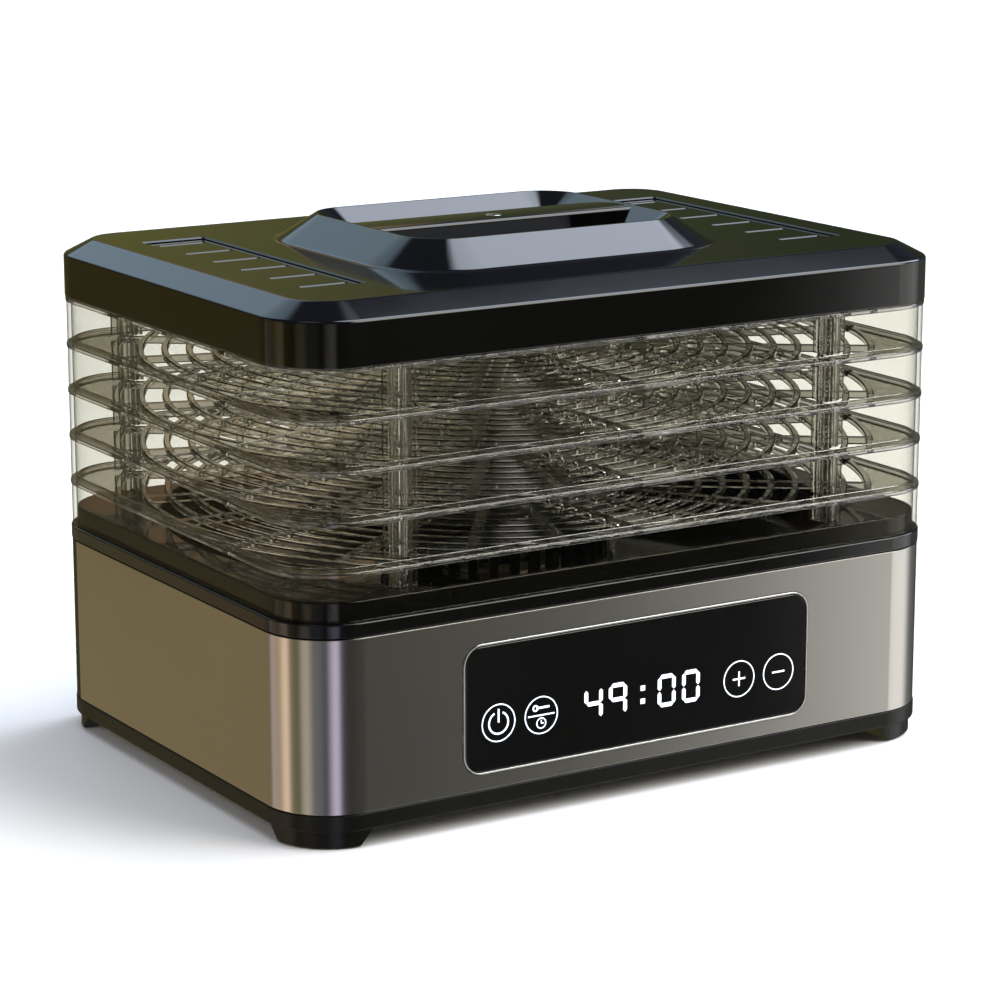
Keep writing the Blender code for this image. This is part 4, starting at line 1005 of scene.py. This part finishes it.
# ---- the control panel -----------------------------------------------------------------------
class DEHYDRATOR_OT_panel(bpy.types.Operator):
    """Makes the glass, its bezel and the lit digits and key signs"""

    bl_idname = "dehydrator.make_panel"
    bl_label = "Control panel"

    def execute(self, context):
        middle = (BEZEL_HIGH.z + BEZEL_LOW.z) / 2
        front = BEZEL_LOW.y
        half = (GLASS_HIGH - GLASS_LOW) / 2
        thickness = GLASS_HIGH.y - GLASS_LOW.y
        glass_corner, steps = 7.8 * MM, 12
        bm = bmesh.new()
        ring_block(bm, half.x, half.z, glass_corner,
                   ((0.0, -thickness), (0.0, -0.4 * MM), (-0.1 * MM, -0.2 * MM),
                    (-0.3 * MM, -SUNK)), steps)
        bmesh.ops.translate(bm, vec=(0, middle, 0), verts=bm.verts)
        facing_front(bm, front)
        add_piece(bm, "panel_cover", "glass", "base", "panel_glass", ("control_glass",))
        half = (BEZEL_HIGH - BEZEL_LOW) / 2
        width = 0.75 * MM
        bm = bmesh.new()
        rings = []
        for inset, depth in eased(((0.0, -thickness, 0.0), (0.0, 0.0, METAL_EASE),
                                   (width, 0.0, METAL_EASE), (width, -thickness, 0.0)), 3):
            ring = outline_points(half.x - inset, half.z - inset, PANEL_CORNER - inset, steps)
            rings.append([(p.x, p.y + middle, depth) for p in ring])
        loft(bm, rings, closed=True)
        facing_front(bm, front)
        add_piece(bm, "panel_frame", "steel", "base", "bright_steel", ("panel_bezel",))
        self.digits(front)
        self.keys(front)
        return {"FINISHED"}

    def printed(self, bm, name, front):
        """Lays lit signs drawn on the XY plane on the glass."""
        facing_front(bm, front + SUNK)
        add_piece(bm, name, "print", "base", "panel_glass")

    def segment(self, bm, middle, reach, width, upright):
        """One lit segment with pointed ends."""
        long, half = reach / 2, width / 2
        shape = ((-long, 0), (-long + half, half), (long - half, half), (long, 0),
                 (long - half, -half), (-long + half, -half))
        verts = []
        for x, y in shape:
            place = (-y, x) if upright else (x, y)
            verts.append(bm.verts.new((middle[0] + place[0], middle[1] + place[1], 0)))
        face = bm.faces.new(verts)
        made = bmesh.ops.extrude_face_region(bm, geom=[face])["geom"]
        moved = [item for item in made if isinstance(item, bmesh.types.BMVert)]
        bmesh.ops.translate(bm, vec=(0, 0, PRINT_DEPTH), verts=moved)

    def digits(self, front):
        """The clock's four figures and the two dots between them."""
        settings = sizes()
        height, width = settings.digit_height, settings.digit_width
        stroke = 1.85 * MM
        middle_z = 44.0 * MM
        across = width - stroke
        up = (height - stroke) / 2
        gap = 0.5 * MM
        places = {
            "top": (0, up, False), "middle": (0, 0, False), "bottom": (0, -up, False),
            "high_left": (-across / 2, up / 2, True), "high_right": (across / 2, up / 2, True),
            "low_left": (-across / 2, -up / 2, True), "low_right": (across / 2, -up / 2, True),
        }
        lit = {
            "4": ("high_left", "middle", "high_right", "low_right"),
            "9": ("top", "high_left", "high_right", "middle", "low_right"),
            "0": ("top", "bottom", "high_left", "high_right", "low_left", "low_right"),
        }
        bm = bmesh.new()
        for figure, x in (("4", -24.2 * MM), ("9", -11.8 * MM), ("0", 13.4 * MM), ("0", 26.1 * MM)):
            for word in lit[figure]:
                dx, dy, upright = places[word]
                reach = (up if upright else across) - gap
                self.segment(bm, (x + dx, middle_z + dy), reach, stroke, upright)
        dot_x, dot_half = 1.0 * MM, 1.15 * MM
        for dy in (-2.9 * MM, 2.9 * MM):
            self.stroke(bm, (dot_x, middle_z + dy), dot_half, dot_half)
        self.printed(bm, "clock_digits", front)

    def hoop(self, bm, middle, radius, stroke, start=0.0, angle=FULL_TURN):
        """A flat ring, or part of one, drawn from a start angle."""
        own = bmesh.new()
        tube(own, radius - stroke / 2, radius + stroke / 2, 0, PRINT_DEPTH, 56, angle=angle)
        bmesh.ops.rotate(own, cent=(0, 0, 0), matrix=Matrix.Rotation(start, 3, "Z"),
                         verts=own.verts)
        bmesh.ops.translate(own, vec=(middle[0], middle[1], 0), verts=own.verts)
        mesh = plain_mesh(own, "hoop")
        bm.from_mesh(mesh)
        bpy.data.meshes.remove(mesh)

    def stroke(self, bm, middle, half_x, half_y):
        bar(bm, (middle[0] - half_x, middle[1] - half_y, 0),
            (middle[0] + half_x, middle[1] + half_y, PRINT_DEPTH))

    def keys(self, front):
        """Each touch key's ring and the sign in it."""
        radius = sizes().key_radius
        line = 0.5 * MM
        z = 43.2 * MM
        signs = (("power", -71.6 * MM), ("mode", -50.5 * MM), ("plus", 51.7 * MM),
                 ("minus", 72.9 * MM))
        for word, x in signs:
            bm = bmesh.new()
            self.hoop(bm, (x, z), radius, line)
            getattr(self, word + "_sign")(bm, (x, z))
            self.printed(bm, f"key_{word}", front)

    def power_sign(self, bm, place):
        opening = math.radians(50)
        self.hoop(bm, place, 4.7 * MM, 0.75 * MM, math.pi / 2 + opening / 2, FULL_TURN - opening)
        self.stroke(bm, (place[0], place[1] + 3.1 * MM), 0.4 * MM, 2.9 * MM)

    def mode_sign(self, bm, place):
        """A thermometer over a clock, for the key that switches between heat and time."""
        x, y = place
        self.stroke(bm, place, 6.6 * MM, 0.3 * MM)
        self.stroke(bm, (x + 0.8 * MM, y + 3.3 * MM), 3.2 * MM, 0.45 * MM)
        self.hoop(bm, (x - 2.9 * MM, y + 3.3 * MM), 1.1 * MM, 0.7 * MM)
        self.hoop(bm, (x, y - 3.5 * MM), 2.2 * MM, 0.5 * MM)
        self.stroke(bm, (x, y - 2.9 * MM), 0.2 * MM, 0.8 * MM)
        self.stroke(bm, (x + 0.6 * MM, y - 3.6 * MM), 0.7 * MM, 0.2 * MM)

    def plus_sign(self, bm, place):
        self.minus_sign(bm, place)
        self.stroke(bm, place, 0.38 * MM, 3.3 * MM)

    def minus_sign(self, bm, place):
        self.stroke(bm, place, 3.3 * MM, 0.38 * MM)


# ---- carried-over pieces ---------------------------------------------------------------------
class DEHYDRATOR_OT_inside(bpy.types.Operator):
    """Gives the hidden works, the screws and the pads their finishes"""

    bl_idname = "dehydrator.finish_inside"
    bl_label = "Works and fasteners"

    def execute(self, context):
        recipes = {
            "satin_black_plastic": finish_of("satin_black"),
            "bright_steel": finish_of("steel"),
            "black_rubber": moulded_finish("ribbed_rubber", (0.02, 0.02, 0.02), 0.8),
            "dark_component": moulded_finish("dark_component", (0.04, 0.04, 0.045)),
            "circuit_board": moulded_finish("circuit_board", (0.03, 0.16, 0.07), 0.5),
            "mica_board": moulded_finish("mica_board", (0.62, 0.55, 0.42), 0.6),
            "heater_wire": steel_finish("heater_wire", (0.45, 0.38, 0.32), 0.4),
            "yellow_component": moulded_finish("transformer_tape", (0.55, 0.48, 0.12), 0.5),
            "red_component": moulded_finish("dipped_resin", (0.55, 0.10, 0.06), 0.25),
            "green_component": moulded_finish("terminal_plastic", (0.10, 0.30, 0.14), 0.45),
        }
        slots = {entry["node"]: entry["material_slot"] for entry in FRAME["record"]["subparts"]}
        for node, obj in FRAME["nodes"].items():
            made = recipes.get(slots[node])
            if made:
                obj.data.materials.clear()
                obj.data.materials.append(made)
        return {"FINISHED"}


# ---- the stage -------------------------------------------------------------------------------
# Each stop of the room's walls is degrees right of the front, and a colour.
HORIZON = (
    (-180, (0.10, 0.09, 0.04)), (-165, (0.18, 0.15, 0.05)), (-150, (0.19, 0.15, 0.05)),
    (-138, (0.17, 0.13, 0.05)), (-134, (0.50, 0.42, 0.26)), (-130, (0.40, 0.34, 0.18)),
    (-116, (0.40, 0.30, 0.13)), (-106, (0.90, 0.68, 0.32)), (-100, (0.85, 0.66, 0.32)),
    (-94, (0.20, 0.17, 0.06)), (-80, (0.10, 0.10, 0.04)), (-72, (0.45, 0.40, 0.20)),
    (-64, (0.48, 0.42, 0.22)), (-56, (0.15, 0.15, 0.10)), (-44, (0.14, 0.15, 0.10)),
    (-34, (0.04, 0.04, 0.03)), (-22, (0.62, 0.58, 0.47)), (-16, (0.64, 0.60, 0.50)),
    (-10, (0.05, 0.05, 0.04)), (20, (0.10, 0.10, 0.09)), (37.2, (0.07, 0.07, 0.06)),
    (38.4, (0.45, 0.45, 0.44)), (39.3, (1.7, 1.69, 1.66)), (72, (1.7, 1.69, 1.66)),
    (90, (0.30, 0.30, 0.30)), (120, (0.07, 0.08, 0.05)), (142, (0.05, 0.06, 0.027)),
    (148, (0.09, 0.10, 0.05)), (155, (0.20, 0.195, 0.06)), (180, (0.10, 0.09, 0.04)),
)
# Each soft box of the room is a direction, its inner and outer half-angle in degrees, and a glow.
SOFT_BOXES = (
    ((0.51, -0.05, 0.86), 18.0, 24.4, (5.2, 5.7, 6.6)),
    ((0.07, 0.82, 0.57), 12.0, 20.0, (0.80, 1.08, 1.32)),
    ((0.80, 0.12, 0.58), 8.0, 15.0, (5.6, 6.1, 7.2)),
    ((0.51, -0.62, 0.60), 10.0, 20.0, (7.0, 6.7, 6.1)),
    ((0.434, 0.867, 0.262), 3.0, 5.5, (0.50, 0.34, 0.22)),
    ((0.583, 0.779, 0.262), 1.5, 3.5, (0.45, 0.45, 0.44)),
    ((0.38, 0.90, -0.20), 4.0, 8.0, (0.85, 0.80, 0.66)),
    ((0.68, 0.70, -0.20), 4.0, 9.0, (1.10, 1.10, 1.06)),
    ((-0.29, 0.0, 0.95), 5.0, 14.0, (1.1, 1.3, 1.6)),
)


class DEHYDRATOR_OT_stage(bpy.types.Operator):
    """Sets the pale floor, the studio light and the camera"""

    bl_idname = "dehydrator.set_stage"
    bl_label = "Floor, light and camera"

    def execute(self, context):
        self.floor()
        self.world(context.scene)
        self.lights()
        self.camera(context.scene)
        context.scene.view_settings.view_transform = "Standard"
        context.scene.cycles.transparent_max_bounces = 24
        context.scene.cycles.transmission_bounces = 16
        context.scene.cycles.max_bounces = 18
        return {"FINISHED"}

    def floor(self):
        bm = bmesh.new()
        bmesh.ops.create_grid(bm, x_segments=1, y_segments=1, size=8.0)
        mesh = plain_mesh(bm, "floor")
        tone = colours().floor
        made, shader, tree = finish("pale_floor", tone, 0.7)
        vary_colour(tree, shader, placed_noise(tree, 3.0), scaled(tone, 0.985), tone)
        shader.inputs["Specular IOR Level"].default_value = 0.2
        mesh.materials.append(made)
        floor = bpy.data.objects.new("floor", mesh)
        bpy.context.scene.collection.objects.link(floor)
        floor.visible_glossy = False
        floor.visible_transmission = False

    def world(self, scene):
        """White for the camera. Reflections see a dim warm room with soft boxes in it."""
        world = bpy.data.worlds.new("studio")
        world.use_nodes = True
        tree = world.node_tree
        where = add_node(tree, "TexCoord", {})
        direction = where.outputs["Generated"]
        split = add_node(tree, "SeparateXYZ", {"Vector": direction})
        room = self.brighter_below(tree, split, self.walls(tree, split))
        above = self.smooth(tree, split.outputs["Z"], 0.27, 0.44)
        room = self.mixed(tree, above, room, (0.09, 0.10, 0.15))
        for aim, inner, outer, glow in SOFT_BOXES:
            towards = add_node(tree, "VectorMath", {0: direction, 1: Vector(aim).normalized()},
                               operation="DOT_PRODUCT")
            inside = self.smooth(tree, towards.outputs["Value"], math.cos(math.radians(outer)),
                                 math.cos(math.radians(inner)))
            room = self.mixed(tree, inside, room, glow)
        path = add_node(tree, "LightPath", {})
        paler = add_node(tree, "HueSaturation", {"Color": room, "Saturation": 0.5, "Value": 0.7,
                                                 "Fac": path.outputs["Is Transmission Ray"]})
        seen = self.mixed(tree, path.outputs["Is Camera Ray"], paler.outputs["Color"],
                          (1.0, 1.0, 1.0))
        tree.links.new(seen, tree.nodes["Background"].inputs["Color"])
        scene.world = world

    def brighter_below(self, tree, split, room):
        """On the left the room grows brighter towards the ground, as over a pale table."""
        low = self.smooth(tree, split.outputs["Z"], -0.17, -0.25)
        left = self.smooth(tree, split.outputs["X"], 0.05, -0.20)
        both = add_node(tree, "Math", {0: low, 1: left}, operation="MULTIPLY")
        white, table = (1.0, 1.0, 1.0, 1.0), (1.95, 1.95, 3.2)
        gain = self.mixed(tree, both.outputs["Value"], white, table)
        lit = add_node(tree, "VectorMath", {0: room, 1: gain}, operation="MULTIPLY")
        return lit.outputs["Vector"]

    def smooth(self, tree, source, low, high):
        """0 where the source is at low, 1 where it is at high, eased between."""
        ranged = add_node(tree, "MapRange", {"Value": source, "From Min": low, "From Max": high},
                          interpolation_type="SMOOTHSTEP")
        return ranged.outputs["Result"]

    def mixed(self, tree, share, first, second):
        """First, or the colour second where share is 1. A Mix node's colours are inputs 6 and 7."""
        mix = add_node(tree, "Mix", {"Factor": share, 6: first, 7: (*second, 1.0)},
                       data_type="RGBA")
        return mix.outputs[2]

    def walls(self, tree, split):
        """The room round the horizon, from the direction's turn about Z."""
        back = add_node(tree, "Math", {0: split.outputs["Y"], 1: -1.0}, operation="MULTIPLY")
        turn = add_node(tree, "Math", {0: split.outputs["X"], 1: back.outputs["Value"]},
                        operation="ARCTAN2")
        whole = add_node(tree, "MapRange", {"Value": turn.outputs["Value"], "From Min": -math.pi,
                                            "From Max": math.pi})
        ramp = add_node(tree, "ValToRGB", {"Fac": whole.outputs["Result"]})
        elements = ramp.color_ramp.elements
        while len(elements) < len(HORIZON):
            elements.new(0.5)
        for element, (degrees, tone) in zip(elements, HORIZON):
            element.position = (degrees + 180) / 360
            element.color = (*tone, 1.0)
        return ramp.outputs["Color"]

    def lights(self):
        """Soft boxes, each (name, place, aim, width, height, power, colour)."""
        boxes = (
            ("overhead", (0.2, -0.3, 2.2), (0.0, 0.0, 0.0), 3.0, 3.0, 34.0, (1.0, 1.0, 1.0)),
            ("left_fill", (-2.4, -0.6, 1.3), (0.0, 0.0, 0.1), 1.6, 1.6, 16.0, (1.0, 0.96, 0.88)),
        )
        for name, place, aim, width, height, power, tone in boxes:
            data = bpy.data.lights.new(name, "AREA")
            data.shape = "RECTANGLE"
            data.size = width
            data.size_y = height
            data.energy = power
            data.color = tone
            lamp = bpy.data.objects.new(name, data)
            bpy.context.scene.collection.objects.link(lamp)
            lamp.location = place
            towards = Vector(aim) - Vector(place)
            lamp.rotation_euler = towards.to_track_quat("-Z", "Y").to_euler()
            lamp.visible_camera = False
            lamp.visible_glossy = False
            lamp.visible_transmission = False

    def camera(self, scene):
        data = bpy.data.cameras.new("camera")
        data.sensor_width = 36.0
        data.lens = 119.09
        data.clip_end = 100.0
        camera = bpy.data.objects.new("camera", data)
        camera.location = (-0.76989, -1.23666, 0.44630)
        camera.rotation_euler = (math.radians(76.849), 0.0, math.radians(-32.0155))
        scene.collection.objects.link(camera)
        scene.camera = camera


class DEHYDRATOR_PT_sidebar(bpy.types.Panel):
    """Lists the operators and the sizes and colours that they use."""

    bl_label = "Food dehydrator"
    bl_idname = "DEHYDRATOR_PT_sidebar"
    bl_space_type = "VIEW_3D"
    bl_region_type = "UI"
    bl_category = "Dehydrator"

    def draw(self, context):
        for operator in OPERATORS:
            self.layout.operator(operator.bl_idname)
        for group in (context.scene.dehydrator_sizes, context.scene.dehydrator_colours):
            box = self.layout.box()
            for name in group.__annotations__:
                box.prop(group, name)


OPERATORS = (
    DEHYDRATOR_OT_base,
    DEHYDRATOR_OT_band,
    DEHYDRATOR_OT_deck,
    DEHYDRATOR_OT_outlet,
    DEHYDRATOR_OT_trays,
    DEHYDRATOR_OT_lid,
    DEHYDRATOR_OT_panel,
    DEHYDRATOR_OT_inside,
    DEHYDRATOR_OT_stage,
)
GROUPS = (DehydratorSizes, DehydratorColours)


def register():
    for kind in (*GROUPS, *OPERATORS, DEHYDRATOR_PT_sidebar):
        bpy.utils.register_class(kind)
    bpy.types.Scene.dehydrator_sizes = PointerProperty(type=DehydratorSizes)
    bpy.types.Scene.dehydrator_colours = PointerProperty(type=DehydratorColours)


def unregister():
    del bpy.types.Scene.dehydrator_colours
    del bpy.types.Scene.dehydrator_sizes
    for kind in reversed((*GROUPS, *OPERATORS, DEHYDRATOR_PT_sidebar)):
        bpy.utils.unregister_class(kind)


def main():
    register()
    for operator in OPERATORS:
        name = operator.bl_idname.split(".")[1]
        getattr(bpy.ops.dehydrator, name)()


if __name__ == "__main__":
    main()
